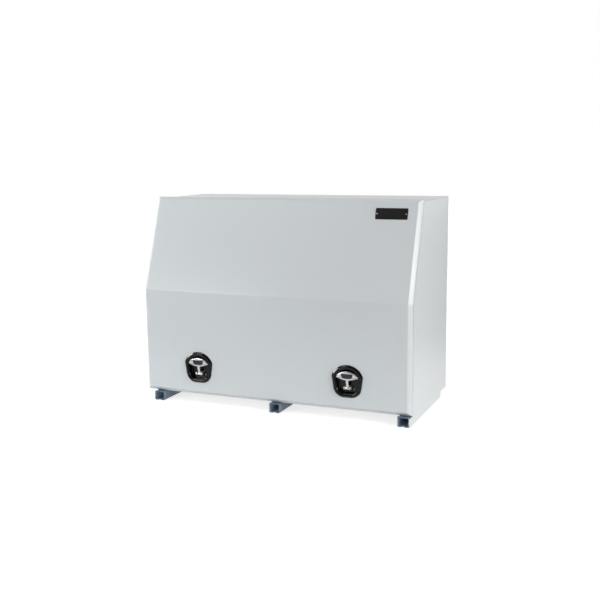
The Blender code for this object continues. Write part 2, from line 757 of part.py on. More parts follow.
# Door stiffeners: kinked hat channels on the inside of the skin
hat_foot = SKIN_INSIDE - SEAT_GAP
hat_crown = STIFFENER_BACK + STIFFENER_SHEET
hat_path = [
    (-STIFFENER_HALF, hat_foot), (-STIFFENER_CROWN_HALF, hat_foot),
    (-STIFFENER_CROWN_HALF, hat_crown), (STIFFENER_CROWN_HALF, hat_crown),
    (STIFFENER_CROWN_HALF, hat_foot), (STIFFENER_HALF, hat_foot),
]
hat_strip = strip_outline(hat_path, -STIFFENER_SHEET, STIFFENER_FOLD)
STIFFENER_TOP = HINGE_S - STIFFENER_TOP_DROP


def hat_channel(x_mid):
    columns = []
    for x, o in hat_strip:
        column = [Vector((x_mid + x, -o, STIFFENER_BOTTOM))]
        column += kink_arc(x_mid + x, o, DOOR_KINK_CORE)
        column.append(sloped(x_mid + x, STIFFENER_TOP, o))
        columns.append(column)
    stations = [list(row) for row in zip(*columns)]
    bm, rows = bridge_rings(stations, False)
    bm.faces.new(rows[0])
    bm.faces.new(rows[-1])
    return bm


for side, x_mid in (("left", -STIFFENER_SIDE_X), ("centre", 0), ("right", STIFFENER_SIDE_X)):
    add_piece("door_stiffener_" + side, hat_channel(x_mid), INNER, door_axis)

# Name plate and its rivets
PLATE_X1 = HALF - DOOR_BEVEL - PLATE_SIDE
PLATE_X0 = PLATE_X1 - PLATE_WIDTH
PLATE_S1 = DOOR_TOP_S - DOOR_BEVEL - PLATE_DROP
PLATE_S0 = PLATE_S1 - PLATE_HEIGHT


def rounded_box(u0, v0, u1, v1, radius):
    points = []
    corners = ((u1, v1, 0), (u0, v1, 1), (u0, v0, 2), (u1, v0, 3))
    for u, v, quarter in corners:
        cu = u - radius if quarter in (0, 3) else u + radius
        cv = v - radius if quarter in (0, 1) else v + radius
        for k in range(CORNER_STEPS + 1):
            a = math.pi / 2 * (quarter + k / CORNER_STEPS)
            points.append((cu + radius * math.cos(a), cv + radius * math.sin(a)))
    return points


plate_out = DOOR_REACH + SEAT_GAP
name_plate = add_piece("name_plate", slab(
    rounded_box(PLATE_X0, PLATE_S0, PLATE_X1, PLATE_S1, PLATE_CORNER), out_of_slope,
    plate_out, plate_out + PLATE_SHEET), PLATE, door_axis)
slope_out = sloped(0, 0, 1) - sloped(0, 0, 0)
rivet_seat = PLATE_SHEET + SEAT_GAP * 2
rivet_tail = -DOOR_SHEET - SEAT_GAP
plate_rivet = [
    (0, rivet_tail - RIVET_TAIL_DEPTH), (RIVET_TAIL, rivet_tail - RIVET_TAIL_DEPTH),
    (RIVET_TAIL, rivet_tail), (RIVET_SHANK, rivet_tail), (RIVET_SHANK, rivet_seat),
]
plate_rivet += dome(RIVET_HEAD, rivet_seat, RIVET_RISE)
for side, x in (("left", PLATE_X0 + PLATE_RIVET_INSET), ("right", PLATE_X1 - PLATE_RIVET_INSET)):
    at = sloped(x, (PLATE_S0 + PLATE_S1) / 2, DOOR_REACH)
    hole = helper("name_rivet_hole_" + side, rod(
        at, slope_out, RIVET_SHANK + SEAT_GAP, -CUT_OVERRUN, CUT_OVERRUN, FASTENER_STEPS), door_axis)
    combine(name_plate, hole, "DIFFERENCE")
    combine(door_skin, hole, "DIFFERENCE")
    add_piece("name_rivet_" + side, turned(plate_rivet, at, slope_out, FASTENER_STEPS), STEEL,
              door_axis)


def arc(centre, radius, start, finish, steps):
    """Points along a circle from one angle to another."""
    angles = [start + (finish - start) * k / steps for k in range(steps + 1)]
    return [(centre[0] + radius * math.cos(a), centre[1] + radius * math.sin(a)) for a in angles]


def shield(inset, x_mid, y):
    """Outline of the lock bezel drawn in by inset: a round crown, soft shoulders,
    sides that taper downwards and wide lower corners."""
    taper = math.radians(SIDE_TAPER_DEG)
    down = Vector((-math.sin(taper), -math.cos(taper)))
    inward = Vector((-math.cos(taper), math.sin(taper)))
    crown = Vector((0, CROWN_HEIGHT))
    crown_radius = CROWN_RADIUS - inset
    shoulder_rise = math.sqrt(CROWN_RADIUS ** 2 - SHOULDER_HALF ** 2)
    side = crown + Vector((SHOULDER_HALF, shoulder_rise)) + inward * inset
    reach = side + inward * SHOULDER_RADIUS - crown
    along = reach.dot(down)
    back = math.sqrt(along ** 2 - reach.length_squared + (crown_radius - SHOULDER_RADIUS) ** 2)
    shoulder = crown + reach - down * (along + back)
    turn = math.atan2(shoulder.y - crown.y, shoulder.x - crown.x)
    corner_radius = BEZEL_CORNER - inset
    corner_z = BEZEL_BOTTOM + BEZEL_CORNER
    corner_x = side.x - (corner_radius - (corner_z - side.y) * math.sin(taper)) / math.cos(taper)
    half = arc((corner_x, corner_z), corner_radius, -math.pi / 2, -taper, BASE_STEPS)
    half += arc(shoulder, SHOULDER_RADIUS, -taper, turn, SHOULDER_STEPS)
    half += arc(crown, crown_radius, turn, math.pi / 2, CROWN_STEPS)[1:]
    outline = half + [(-x, z) for x, z in half[-2::-1]]
    return [Vector((x_mid + x, y, z)) for x, z in outline]


BEZEL_BACK = DOOR_REACH + SEAT_GAP
HULL_IN = RIM_WIDTH - DISH_SHEET
CREST_RISE = RIM_CREST - BEZEL_BACK


def dish_profile():
    """Inset and reach of the dish: outer edge, round rim, wall, floor and back."""
    front = [(0, BEZEL_BACK), (0, BEZEL_BACK + RIM_EDGE_RISE)]
    rise = CREST_RISE - RIM_EDGE_RISE
    for k in range(1, RIM_STEPS + 1):
        a = math.pi / 2 * k / RIM_STEPS
        front.append((RIM_CREST_IN * (1 - math.cos(a)), BEZEL_BACK + RIM_EDGE_RISE + rise * math.sin(a)))
    fall = RIM_WIDTH - RIM_CREST_IN
    for k in range(1, RIM_STEPS + 1):
        a = math.pi / 2 * k / RIM_STEPS
        front.append((RIM_CREST_IN + fall * math.sin(a), RIM_CREST - CREST_RISE * (1 - math.cos(a))))
    foot = RECESS_FLOOR + RECESS_FILLET
    front.append((RIM_WIDTH, foot))
    for k in range(1, FOLD_STEPS + 1):
        a = math.pi / 2 * k / FOLD_STEPS
        front.append((RIM_WIDTH + RECESS_FILLET * (1 - math.cos(a)), foot - RECESS_FILLET * math.sin(a)))
    back = [(HULL_IN, BEZEL_BACK), (HULL_IN, foot)]
    outer = RECESS_FILLET + DISH_SHEET
    for k in range(1, FOLD_STEPS + 1):
        a = math.pi / 2 * k / FOLD_STEPS
        back.append((HULL_IN + outer * (1 - math.cos(a)), foot - outer * math.sin(a)))
    return front[::-1] + back


def eye_ring(x_mid, scale, reach, bow):
    """Outline of the handle head: a leaf with a high back, its ends bowed outwards."""
    ring = []
    for i in range(HEAD_STEPS):
        a = math.tau * i / HEAD_STEPS
        s = math.sin(a)
        x = (HEAD_HALF_WIDTH - (1 - scale) * HEAD_RISE) * math.cos(a)
        z = HEAD_RISE * s ** HEAD_TOP_POWER if s > 0 else -HEAD_FALL * (-s) ** HEAD_BASE_POWER
        ring.append(Vector((x_mid + x, -reach - bow * math.cos(a) ** 2, HEAD_HEIGHT + scale * z)))
    return ring


def cover_outline(grow):
    """Flat topped D of the lock cover, grown all round."""
    top = HEAD_HEIGHT + COVER_TOP_RISE
    points = []
    for k in range(ROUND_STEPS + 1):
        a = math.pi + math.pi * k / ROUND_STEPS
        c = math.copysign(abs(math.cos(a)) ** COVER_SIDE_POWER, math.cos(a))
        s = -abs(math.sin(a)) ** COVER_BASE_POWER
        points.append(((COVER_HALF_WIDTH + grow) * c, top + (COVER_HEIGHT + grow) * s))
    points[0] = (points[0][0], top + grow)
    points[-1] = (points[-1][0], top + grow)
    return points


def stem_profile():
    """Side view of the handle's stem, from inside the hub up into the head."""
    span = HEAD_HEIGHT - SPINDLE_HEIGHT
    stem_back = HEAD_BACK + DISH_SHEET
    tuck = HUB_RADIUS * STEM_TUCK_SHARE
    return [
        (-PIVOT_REACH - tuck, SPINDLE_HEIGHT),
        (-PIVOT_REACH + tuck, SPINDLE_HEIGHT),
        (-PIVOT_REACH + tuck, SPINDLE_HEIGHT + span * STEM_NECK_SHARE),
        (-stem_back, SPINDLE_HEIGHT + span * STEM_BEND_SHARE),
        (-stem_back, SPINDLE_HEIGHT + span * STEM_TOP_SHARE),
        (-HEAD_FRONT + HEAD_EDGE, SPINDLE_HEIGHT + span * STEM_TOP_SHARE),
        (-HEAD_FRONT + HEAD_EDGE, SPINDLE_HEIGHT + span * STEM_FRONT_SHARE),
    ]


def add_lock(side, x_mid, inward):
    """One folding T-handle lock; inward is +1 when the box centre lies at +X."""
    hull = helper("lock_hole_" + side, bridge_shield(HULL_IN - HULL_GAP, x_mid), door_axis)
    combine(door_skin, hull, "DIFFERENCE")

    rings = [shield(inset, x_mid, -o) for inset, o in dish_profile()]
    bm, rows = bridge_rings(rings, False)
    bm.faces.new(rows[0])
    bm.faces.new(rows[-1])
    dish = add_piece("lock_dish_" + side, bm, BLACK, door_axis)
    spindle_at = Vector((x_mid, 0, SPINDLE_HEIGHT))
    bore = helper("lock_bore_" + side, rod(
        spindle_at, Y_AXIS, SPINDLE_RADIUS + SEAT_GAP, -DOOR_REACH, CUT_OVERRUN), door_axis)
    combine(dish, bore, "DIFFERENCE")

    # Clamp behind the door
    skin_back = -SKIN_INSIDE + SEAT_GAP
    crown = -(RECESS_FLOOR - DISH_SHEET) + SEAT_GAP
    clamp_path = [
        (x_mid - CLAMP_HALF - CLAMP_FOOT, skin_back), (x_mid - CLAMP_HALF, skin_back),
        (x_mid - CLAMP_HALF, crown + CLAMP_SHEET), (x_mid + CLAMP_HALF, crown + CLAMP_SHEET),
        (x_mid + CLAMP_HALF, skin_back), (x_mid + CLAMP_HALF + CLAMP_FOOT, skin_back),
    ]
    clamp_strip = clamp_outline(clamp_path)
    low = SPINDLE_HEIGHT - CLAMP_HEIGHT / 2
    clamp = add_piece("lock_clamp_" + side, slab(clamp_strip, along_z, low, low + CLAMP_HEIGHT),
                      ZINC, door_axis)
    combine(clamp, bore, "DIFFERENCE")

    # Screws through the dish floor into the clamp
    for end, dx in (("outer", -inward * SCREW_X), ("inner", inward * SCREW_X)):
        at = Vector((x_mid + dx, -RECESS_FLOOR, SPINDLE_HEIGHT - SCREW_DROP))
        hole = helper("lock_screw_hole_" + side + "_" + end, rod(
            at, Y_AXIS, SCREW_SHANK + SEAT_GAP, -CUT_OVERRUN, CUT_OVERRUN, FASTENER_STEPS), door_axis)
        combine(dish, hole, "DIFFERENCE")
        combine(clamp, hole, "DIFFERENCE")
        seat = SEAT_GAP
        screw = [(0, -SCREW_TAIL - seat), (SCREW_SHANK, -SCREW_TAIL - seat), (SCREW_SHANK, seat)]
        screw += dome(SCREW_HEAD, seat, SCREW_RISE)
        add_piece("lock_screw_" + side + "_" + end, turned(screw, at, -Y_AXIS, FASTENER_STEPS),
                  STEEL, door_axis)

    # Spindle with its fork
    pivot = Vector((x_mid, -PIVOT_REACH, SPINDLE_HEIGHT))
    turn_axis = add_axis("lock_turn_axis_" + side, pivot, door_axis)
    base_back = -RECESS_FLOOR - SEAT_GAP
    fork = add_piece("lock_spindle_" + side, slab(
        rounded_box(x_mid - FORK_HALF, SPINDLE_HEIGHT - FORK_RISE, x_mid + FORK_HALF,
                    SPINDLE_HEIGHT + FORK_RISE, FORK_RISE / 2),
        along_y, base_back - FORK_BASE, base_back), CHROME, turn_axis, pivot.copy())
    ear = []
    for k in range(KNUCKLE_STEPS + 1):
        a = -math.pi / 2 - math.pi * k / KNUCKLE_STEPS
        ear.append((-PIVOT_REACH + EAR_RADIUS * math.cos(a), SPINDLE_HEIGHT + EAR_RADIUS * math.sin(a)))
    root = base_back - FORK_BASE / 2
    ear += [(root, SPINDLE_HEIGHT + EAR_RADIUS), (root, SPINDLE_HEIGHT - EAR_RADIUS)]
    ears = bmesh.new()
    ear_in = HUB_HALF + HUB_PLAY
    ear_out = FORK_HALF - SEAT_GAP
    join_mesh(ears, slab(ear, along_x, x_mid - ear_out, x_mid - ear_in))
    join_mesh(ears, slab(ear, along_x, x_mid + ear_in, x_mid + ear_out))
    combine(fork, helper("lock_ears_" + side, ears, turn_axis), "UNION")
    nut_end = CAM_START + CAM_SHEET + SEAT_GAP + CAM_NUT_THICK + SEAT_GAP
    shaft_profile = [
        (0, base_back - FORK_BASE / 2), (SPINDLE_RADIUS, base_back - FORK_BASE / 2),
        (SPINDLE_RADIUS, CAM_START - SEAT_GAP), (STUD_RADIUS, CAM_START - SEAT_GAP),
        (STUD_RADIUS, nut_end), (0, nut_end),
    ]
    combine(fork, helper("lock_shaft_" + side, turned(shaft_profile, spindle_at, Y_AXIS, ROUND_STEPS),
                         turn_axis), "UNION")
    pin_hole = helper("lock_pin_hole_" + side, rod(
        pivot, X_AXIS, PIVOT_PIN + RUNNING_GAP, -FORK_HALF - CUT_OVERRUN, FORK_HALF + CUT_OVERRUN),
        turn_axis)
    combine(fork, pin_hole, "DIFFERENCE")
    add_piece("lock_pivot_pin_" + side, rod(pivot, X_AXIS, PIVOT_PIN, -FORK_HALF, FORK_HALF),
              CHROME, turn_axis)

    # Cam and its nut
    cam = []
    for k in range(KNUCKLE_STEPS + 1):
        a = math.pi / 2 + math.pi * k / KNUCKLE_STEPS
        cam.append((x_mid + inward * CAM_BOSS * math.cos(a), SPINDLE_HEIGHT + CAM_BOSS * math.sin(a)))
    tip = CAM_LENGTH - CAM_HALF / 2
    cam += [
        (x_mid + inward * tip, SPINDLE_HEIGHT - CAM_HALF),
        (x_mid + inward * CAM_LENGTH, SPINDLE_HEIGHT - CAM_HALF / 2),
        (x_mid + inward * CAM_LENGTH, SPINDLE_HEIGHT + CAM_HALF / 2),
        (x_mid + inward * tip, SPINDLE_HEIGHT + CAM_HALF),
    ]
    cam_piece = add_piece("lock_cam_" + side, slab(cam, along_y, CAM_START, CAM_START + CAM_SHEET),
                          ZINC, turn_axis)
    stud_hole = helper("lock_stud_hole_" + side, rod(
        spindle_at, Y_AXIS, STUD_RADIUS + SEAT_GAP, 0, nut_end + CUT_OVERRUN), turn_axis)
    combine(cam_piece, stud_hole, "DIFFERENCE")
    nut_start = CAM_START + CAM_SHEET + SEAT_GAP
    nut_outline = [(x_mid + u, SPINDLE_HEIGHT + v) for u, v in hexagon(CAM_NUT_FLAT)]
    nut = add_piece("lock_cam_nut_" + side, slab(nut_outline, along_y, nut_start,
                                                 nut_start + CAM_NUT_THICK), ZINC, turn_axis)
    combine(nut, stud_hole, "DIFFERENCE")

    # Handle
    lift_axis = add_axis("lock_lift_axis_" + side, pivot, turn_axis)
    thick = HEAD_FRONT - HEAD_BACK
    rings = [eye_ring(x_mid, scale, HEAD_BACK + thick * depth, HEAD_BOW * bow)
             for scale, depth, bow in HEAD_RING_SHARES]
    bm, rows = bridge_rings(rings, False)
    bm.faces.new(rows[0])
    bm.faces.new(rows[-1])
    handle = add_piece("lock_handle_" + side, bm, CHROME, lift_axis, pivot.copy())
    stem = helper("lock_stem_" + side, slab(stem_profile(), along_x, x_mid - STEM_HALF,
                                            x_mid + STEM_HALF), lift_axis)
    combine(handle, stem, "UNION")
    hub = helper("lock_hub_" + side, rod(pivot, X_AXIS, HUB_RADIUS, -HUB_HALF, HUB_HALF), lift_axis)
    combine(handle, hub, "UNION")
    hub_hole = helper("lock_hub_hole_" + side, rod(
        pivot, X_AXIS, PIVOT_PIN + RUNNING_GAP, -FORK_HALF, FORK_HALF), lift_axis)
    combine(handle, hub_hole, "DIFFERENCE")
    pocket = [(x_mid + u, v) for u, v in cover_outline(SEAT_GAP)]
    cover_back = -HEAD_FRONT + COVER_DEPTH
    combine(handle, helper("lock_pocket_" + side, slab(
        pocket, along_y, -HEAD_FRONT - CUT_OVERRUN, cover_back), lift_axis), "DIFFERENCE")
    cover = [(x_mid + u, v) for u, v in cover_outline(0)]
    add_piece("lock_cover_" + side, slab(cover, along_y, -HEAD_FRONT - COVER_STAND,
                                         cover_back - SEAT_GAP), DARK, lift_axis)


def bridge_shield(inset, x_mid):
    """Solid of the lock hole through the door."""
    rings = [shield(inset, x_mid, -DOOR_REACH - CUT_OVERRUN), shield(inset, x_mid, -RECESS_FLOOR)]
    bm, rows = bridge_rings(rings, False)
    bm.faces.new(rows[0])
    bm.faces.new(rows[-1])
    return bm


def clamp_outline(path):
    return strip_outline(path, CLAMP_SHEET, CLAMP_SHEET)


add_lock("left", -LOCK_X, 1)
add_lock("right", LOCK_X, -1)

# Gas struts
strut_body = Vector((0, STRUT_BODY_Y, STRUT_BODY_Z))
strut_door = sloped(0, HINGE_S - STRUT_DOOR_DROP, -STRUT_DOOR_IN)
strut_way = (strut_door - strut_body).normalized()
strut_length = (strut_door - strut_body).length
cylinder_end = strut_length - STRUT_TOP_SPACE


def add_strut(side, hand):
    """Gas strut on one side; hand is +1 on the right and -1 on the left."""
    x_mid = hand * STRUT_X
    low = Vector((x_mid, strut_body.y, strut_body.z))
    high = Vector((x_mid, strut_door.y, strut_door.z))
    eye_low = -STRUT_EYE_HALF
    eye_high = STRUT_EYE_HALF

    swing_axis = add_axis("strut_swing_axis_" + side, low)
    bore_floor = STRUT_TAIL - STRUT_ROD
    cylinder_profile = [
        (0, STRUT_EYE / 2), (STRUT_ROD, STRUT_EYE / 2), (STRUT_ROD, STRUT_NECK),
        (STRUT_CYLINDER, STRUT_NECK + STRUT_ROD), (STRUT_CYLINDER, cylinder_end - STRUT_ROD / 2),
        (STRUT_CYLINDER - STRUT_ROD / 2, cylinder_end), (STRUT_ROD + STRUT_ROD_GAP, cylinder_end),
        (STRUT_ROD + STRUT_ROD_GAP, bore_floor), (0, bore_floor),
    ]
    cylinder = add_piece("strut_cylinder_" + side, turned(cylinder_profile, low, strut_way, ROUND_STEPS),
                         PAINT, swing_axis, low.copy())
    combine(cylinder, helper("strut_eye_low_" + side, tube(
        low, X_AXIS, STRUT_EYE_BORE, STRUT_EYE, eye_low, eye_high), swing_axis), "UNION")

    rod_axis = add_axis("strut_slide_axis_" + side, low, swing_axis)
    rod_profile = [
        (0, STRUT_TAIL), (STRUT_ROD, STRUT_TAIL), (STRUT_ROD, strut_length - STRUT_EYE * STRUT_ROD_END_SHARE),
        (0, strut_length - STRUT_EYE * STRUT_ROD_END_SHARE),
    ]
    rod_piece = add_piece("strut_rod_" + side, turned(rod_profile, low, strut_way, ROUND_STEPS),
                          STEEL, rod_axis, low.copy())
    combine(rod_piece, helper("strut_eye_high_" + side, tube(
        high, X_AXIS, STRUT_EYE_BORE, STRUT_EYE, eye_low, eye_high), rod_axis), "UNION")

    # Hat bracket on the side panel with the lower stud
    crown = STRUT_X + STRUT_CYLINDER + STRUT_EYE_BORE / 2
    wall = INSIDE_X - SEAT_GAP
    base = STRUT_BODY_Z
    hat = [
        (base - BRACKET_HALF - BRACKET_FOOT, hand * wall), (base - BRACKET_HALF, hand * wall),
        (base - BRACKET_HALF, hand * crown), (base + BRACKET_HALF, hand * crown),
        (base + BRACKET_HALF, hand * wall), (base + BRACKET_HALF + BRACKET_FOOT, hand * wall),
    ]
    hat_line = strip_outline(hat, -hand * BRACKET_SHEET, BRACKET_SHEET)

    def hat_place(u, v, w):
        return Vector((v, w, u))

    bracket = add_piece("strut_bracket_body_" + side, slab(
        hat_line, hat_place, STRUT_BODY_Y - BRACKET_LENGTH / 2, STRUT_BODY_Y + BRACKET_LENGTH / 2), ZINC)
    stud_start = STRUT_X - STRUT_EYE_HALF - SEAT_GAP
    stud_root = crown + BRACKET_SHEET / 2
    stud = rod(Vector((0, strut_body.y, strut_body.z)), X_AXIS, STRUT_EYE_BORE - RUNNING_GAP,
               *sorted((hand * stud_start, hand * stud_root)))
    combine(bracket, helper("strut_stud_low_" + side, stud), "UNION")
    collar = rod(Vector((0, strut_body.y, strut_body.z)), X_AXIS, STUD_ROOT,
                 *sorted((hand * (STRUT_X + STRUT_EYE_HALF + SEAT_GAP), hand * stud_root)))
    combine(bracket, helper("strut_collar_low_" + side, collar), "UNION")

    # Angle bracket on the door stiffener with the upper stud
    plate_x = crown
    foot_o = STIFFENER_BACK - SEAT_GAP
    inner_x = STIFFENER_SIDE_X - STIFFENER_CROWN_HALF + STIFFENER_FOLD * 2
    angle = [
        (hand * inner_x, foot_o), (hand * (plate_x + BRACKET_SHEET), foot_o),
        (hand * (plate_x + BRACKET_SHEET), -DOOR_BRACKET_IN),
    ]
    angle_line = strip_outline(angle, -hand * BRACKET_SHEET, BRACKET_SHEET)

    def angle_place(u, v, w):
        return sloped(u, w, v)

    at_s = HINGE_S - STRUT_DOOR_DROP
    door_bracket = add_piece("strut_bracket_door_" + side, slab(
        angle_line, angle_place, at_s - DOOR_BRACKET_HALF, at_s + DOOR_BRACKET_HALF), ZINC, door_axis)
    door_stud = rod(Vector((0, strut_door.y, strut_door.z)), X_AXIS, STRUT_EYE_BORE - RUNNING_GAP,
                    *sorted((hand * (STRUT_X + STRUT_EYE_HALF + SEAT_GAP),
                             hand * (plate_x + BRACKET_SHEET / 2))))
    combine(door_bracket, helper("strut_stud_high_" + side, door_stud, door_axis), "UNION")


add_strut("left", -1)
add_strut("right", 1)
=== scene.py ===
import math

import bmesh
import bpy
from mathutils import Matrix, Vector


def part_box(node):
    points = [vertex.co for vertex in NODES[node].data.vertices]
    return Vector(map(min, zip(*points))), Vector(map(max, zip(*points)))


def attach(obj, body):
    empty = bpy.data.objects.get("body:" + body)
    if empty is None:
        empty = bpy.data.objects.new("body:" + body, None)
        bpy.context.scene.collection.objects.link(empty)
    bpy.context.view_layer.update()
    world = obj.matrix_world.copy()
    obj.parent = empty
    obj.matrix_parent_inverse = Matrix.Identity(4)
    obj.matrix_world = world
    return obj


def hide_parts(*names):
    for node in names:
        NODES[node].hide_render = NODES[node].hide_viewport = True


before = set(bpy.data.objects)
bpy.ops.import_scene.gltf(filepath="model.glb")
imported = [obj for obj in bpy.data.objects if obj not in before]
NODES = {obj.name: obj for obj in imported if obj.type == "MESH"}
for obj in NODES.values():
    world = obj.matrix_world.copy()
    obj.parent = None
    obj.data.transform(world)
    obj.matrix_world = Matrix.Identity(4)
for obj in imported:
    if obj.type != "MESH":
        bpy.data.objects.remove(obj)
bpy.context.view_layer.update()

# Camera: the photograph's viewpoint round the object
CAMERA_PLACE = (1.5451, -3.5818, 1.0879)
CAMERA_AZIMUTH_DEG = 23.07
CAMERA_ELEVATION_DEG = 9.50
CAMERA_ROLL_DEG = -0.664
CAMERA_LENS = 53.479
SENSOR_WIDTH = 36.0

# Stage and light
FLOOR_HALF = 14.0
FLOOR_DROP = 0.0004
SHEET_COLOUR = (0.90, 0.90, 0.90)
SHEET_ROUGHNESS = 0.9
STUDIO_COLOUR = (0.22, 0.22, 0.22)
SHEET_REACH = 0.95
SHEET_FADE = 0.50
SHEET_GLOSS = 0.70
STUDIO_GLOSS = 0.25
GLOSS_REACH = 1.15
GLOSS_FADE = 0.50
FLOOR_GLOW = 0.72
FLOOR_MATT = 0.55
WORLD_COLOUR = (0.99, 0.995, 1.0)
WORLD_BASE = 0.20
WORLD_BACK = 0.15
BACKDROP_START = 0.0
BACKDROP_END = 0.25

# Lamps: name, place, aim, width, height, power in watts, colour
WHITE_LIGHT = (1.0, 1.0, 1.0)
WARM_LIGHT = (1.0, 0.98, 0.95)
WARMER_LIGHT = (1.0, 0.96, 0.91)
LAMPS = (
    ("left_window", (-3.41, -0.62, 1.49), (-0.343, -0.29, 0.16), 0.8, 1.5, 50.0, WHITE_LIGHT),
    ("left_front", (-2.2, -3.2, 1.2), (0.0, -0.2, 0.4), 1.4, 1.0, 33.0, WHITE_LIGHT),
    ("front_right", (2.7, -3.2, 0.55), (0.2, -0.2, 0.3), 1.2, 0.7, 8.0, WHITE_LIGHT),
    ("front_high", (-1.6, -2.2, 3.2), (-0.1, -0.2, 0.5), 1.8, 1.2, 14.0, WHITE_LIGHT),
    ("right_front", (3.4, -0.9, 0.9), (0.5, -0.2, 0.5), 0.9, 1.3, 30.0, WARM_LIGHT),
    ("right_high", (3.9, -1.0, 1.9), (0.5, -0.2, 0.7), 1.6, 1.2, 43.0, WARMER_LIGHT),
    ("back_low", (-0.7, 3.6, 0.42), (0.0, 0.3, 0.40), 1.2, 0.8, 36.0, WHITE_LIGHT),
    ("back_high", (0.0, 1.3, 3.0), (0.0, 0.1, 0.9), 2.0, 0.8, 3.0, WHITE_LIGHT),
)

# How much hard edges are rounded, from which fold angle, and in how many steps
EDGE_ROUND = 0.0007
SMALL_EDGE_ROUND = 0.00025
SMALL_PARTS = ("rivet", "screw", "lock_", "bolt", "hinge_pin", "seal", "strut", "hinge_leaf")
EDGE_ANGLE_DEG = 28.0
EDGE_STEPS = 2
PIECE_EDGE_ANGLE_DEG = 32.0
PIECE_EDGE_STEPS = 3
CREASE_DEG = 38.0
WELD_DISTANCE = 0.00001
TURNED_STEPS = 48
SMALL_TURNED_STEPS = 40
SOFT_SHARE = 0.3

# White coat: how dark its clouds get, how its gloss varies, and noise as (scale, detail)
COAT_SHADE = 0.992
COAT_GLOSSIER = 0.02
COAT_DULLER = 0.03
COAT_CLOUDS = (2.2, 3.0)
COAT_PATCHES = (260.0, 2.0)
COAT_PEEL = (420.0, 2.0)
COAT_RIPPLE = (70.0, 1.0)
COAT_RIPPLE_HEIGHT = 2.0

# Zinc: spangle size, gloss and relief
ZINC_ROUGHNESS = 0.46
ZINC_METALLIC = 0.35
ZINC_SPANGLE = 55.0
ZINC_PATCHES = (30.0, 3.0)
ZINC_ROUGH_RANGE = (0.36, 0.54)
ZINC_GRAIN = (160.0, 3.0)
ZINC_RELIEF = 0.00004

# Locks: the CAD solids' figures drawn with finer steps, but for the rim's crest, which
# stands 0.8 mm further in here, and the handle's stem and head, which are shaped finer
ROW_SHIFT_Y = -0.2545
LOCK_X = 0.343
DOOR_FACE = 0.0263
BEZEL_BOTTOM = 0.0965
BEZEL_CORNER = 0.045
CROWN_HEIGHT = 0.160
CROWN_RADIUS = 0.072
SHOULDER_HALF = 0.0675
SHOULDER_RADIUS = 0.010
SIDE_TAPER_DEG = 8.0
RIM_CREST = 0.034
RIM_EDGE_RISE = 0.0016
RIM_WIDTH = 0.018
# Rim flank from crest to foot: share of RIM_CREST_IN, and share of the rise
RIM_FLANK = ((0.93, 0.995), (0.86, 0.97), (0.79, 0.925), (0.70, 0.845), (0.55, 0.666), (0.40, 0.484),
             (0.25, 0.303), (0.12, 0.145), (0.05, 0.06), (0.0, 0.0))
RIM_CREST_IN = 0.0088
RECESS_FLOOR = 0.008
RECESS_FILLET = 0.003
DISH_SHEET = 0.0016
WALL_SHARES = (0.25, 0.5, 0.75)
SPINDLE_HEIGHT = 0.134
SPINDLE_RADIUS = 0.005
STUD_RADIUS = 0.004
STUD_END = 0.0121
PIVOT_REACH = 0.019
HUB_RADIUS = 0.0075
HUB_HALF = 0.0072
HUB_PLAY = 0.0008
HUB_SOFT = 0.0008
FORK_HALF = 0.016
FORK_RISE = 0.010
FORK_BASE = 0.0027
EAR_RADIUS = 0.0085
FORK_EDGE_ROUND = 0.0006
SHAFT_SHOULDER = 0.0032
STEM_HALF = 0.0062
STEM_POWER = 0.62
# Stem from the head down into the hub: share of the way up, back, front, share of STEM_HALF
STEM_STATIONS = (
    (0.92, 0.0247, 0.0300, 1.00), (0.70, 0.0247, 0.0304, 0.96), (0.52, 0.0243, 0.0300, 0.92),
    (0.40, 0.0225, 0.0287, 0.90), (0.28, 0.0190, 0.0266, 0.92), (0.16, 0.0155, 0.0245, 0.97),
    (0.04, 0.0145, 0.0235, 1.00), (-0.04, 0.0145, 0.0235, 1.00),
)
HEAD_HEIGHT = 0.1805
HEAD_HALF_WIDTH = 0.0475
HEAD_RISE = 0.026
HEAD_FALL = 0.012
HEAD_FRONT = 0.0335
HEAD_BACK = 0.0230
HEAD_BOW = 0.0065
HEAD_TOP_POWER = 1.2
HEAD_BASE_POWER = 2.2
HEAD_CORE_SCALE = 0.7
HEAD_CORE_EXTRA = 0.13
# Head from back to front: scale of its outline, share of its depth, share of its bow
HEAD_PROFILE = (
    (0.30, 0.00, 1.00), (0.60, 0.00, 1.00), (0.78, 0.01, 1.00), (0.90, 0.07, 0.98),
    (0.96, 0.17, 0.88), (0.99, 0.30, 0.70), (1.00, 0.44, 0.48), (1.00, 0.58, 0.28),
    (0.992, 0.70, 0.14), (0.975, 0.80, 0.04), (0.95, 0.88, -0.02), (0.91, 0.945, -0.05),
    (0.86, 0.985, -0.08), (0.79, 1.00, -0.10), (0.60, 1.00, -0.10), (0.30, 1.00, -0.10),
)
COVER_HALF_WIDTH = 0.025
COVER_HEIGHT = 0.0205
COVER_TOP_RISE = 0.0155
COVER_FRONT = 0.0340
COVER_SIDE_POWER = 0.6
COVER_BASE_POWER = 0.7
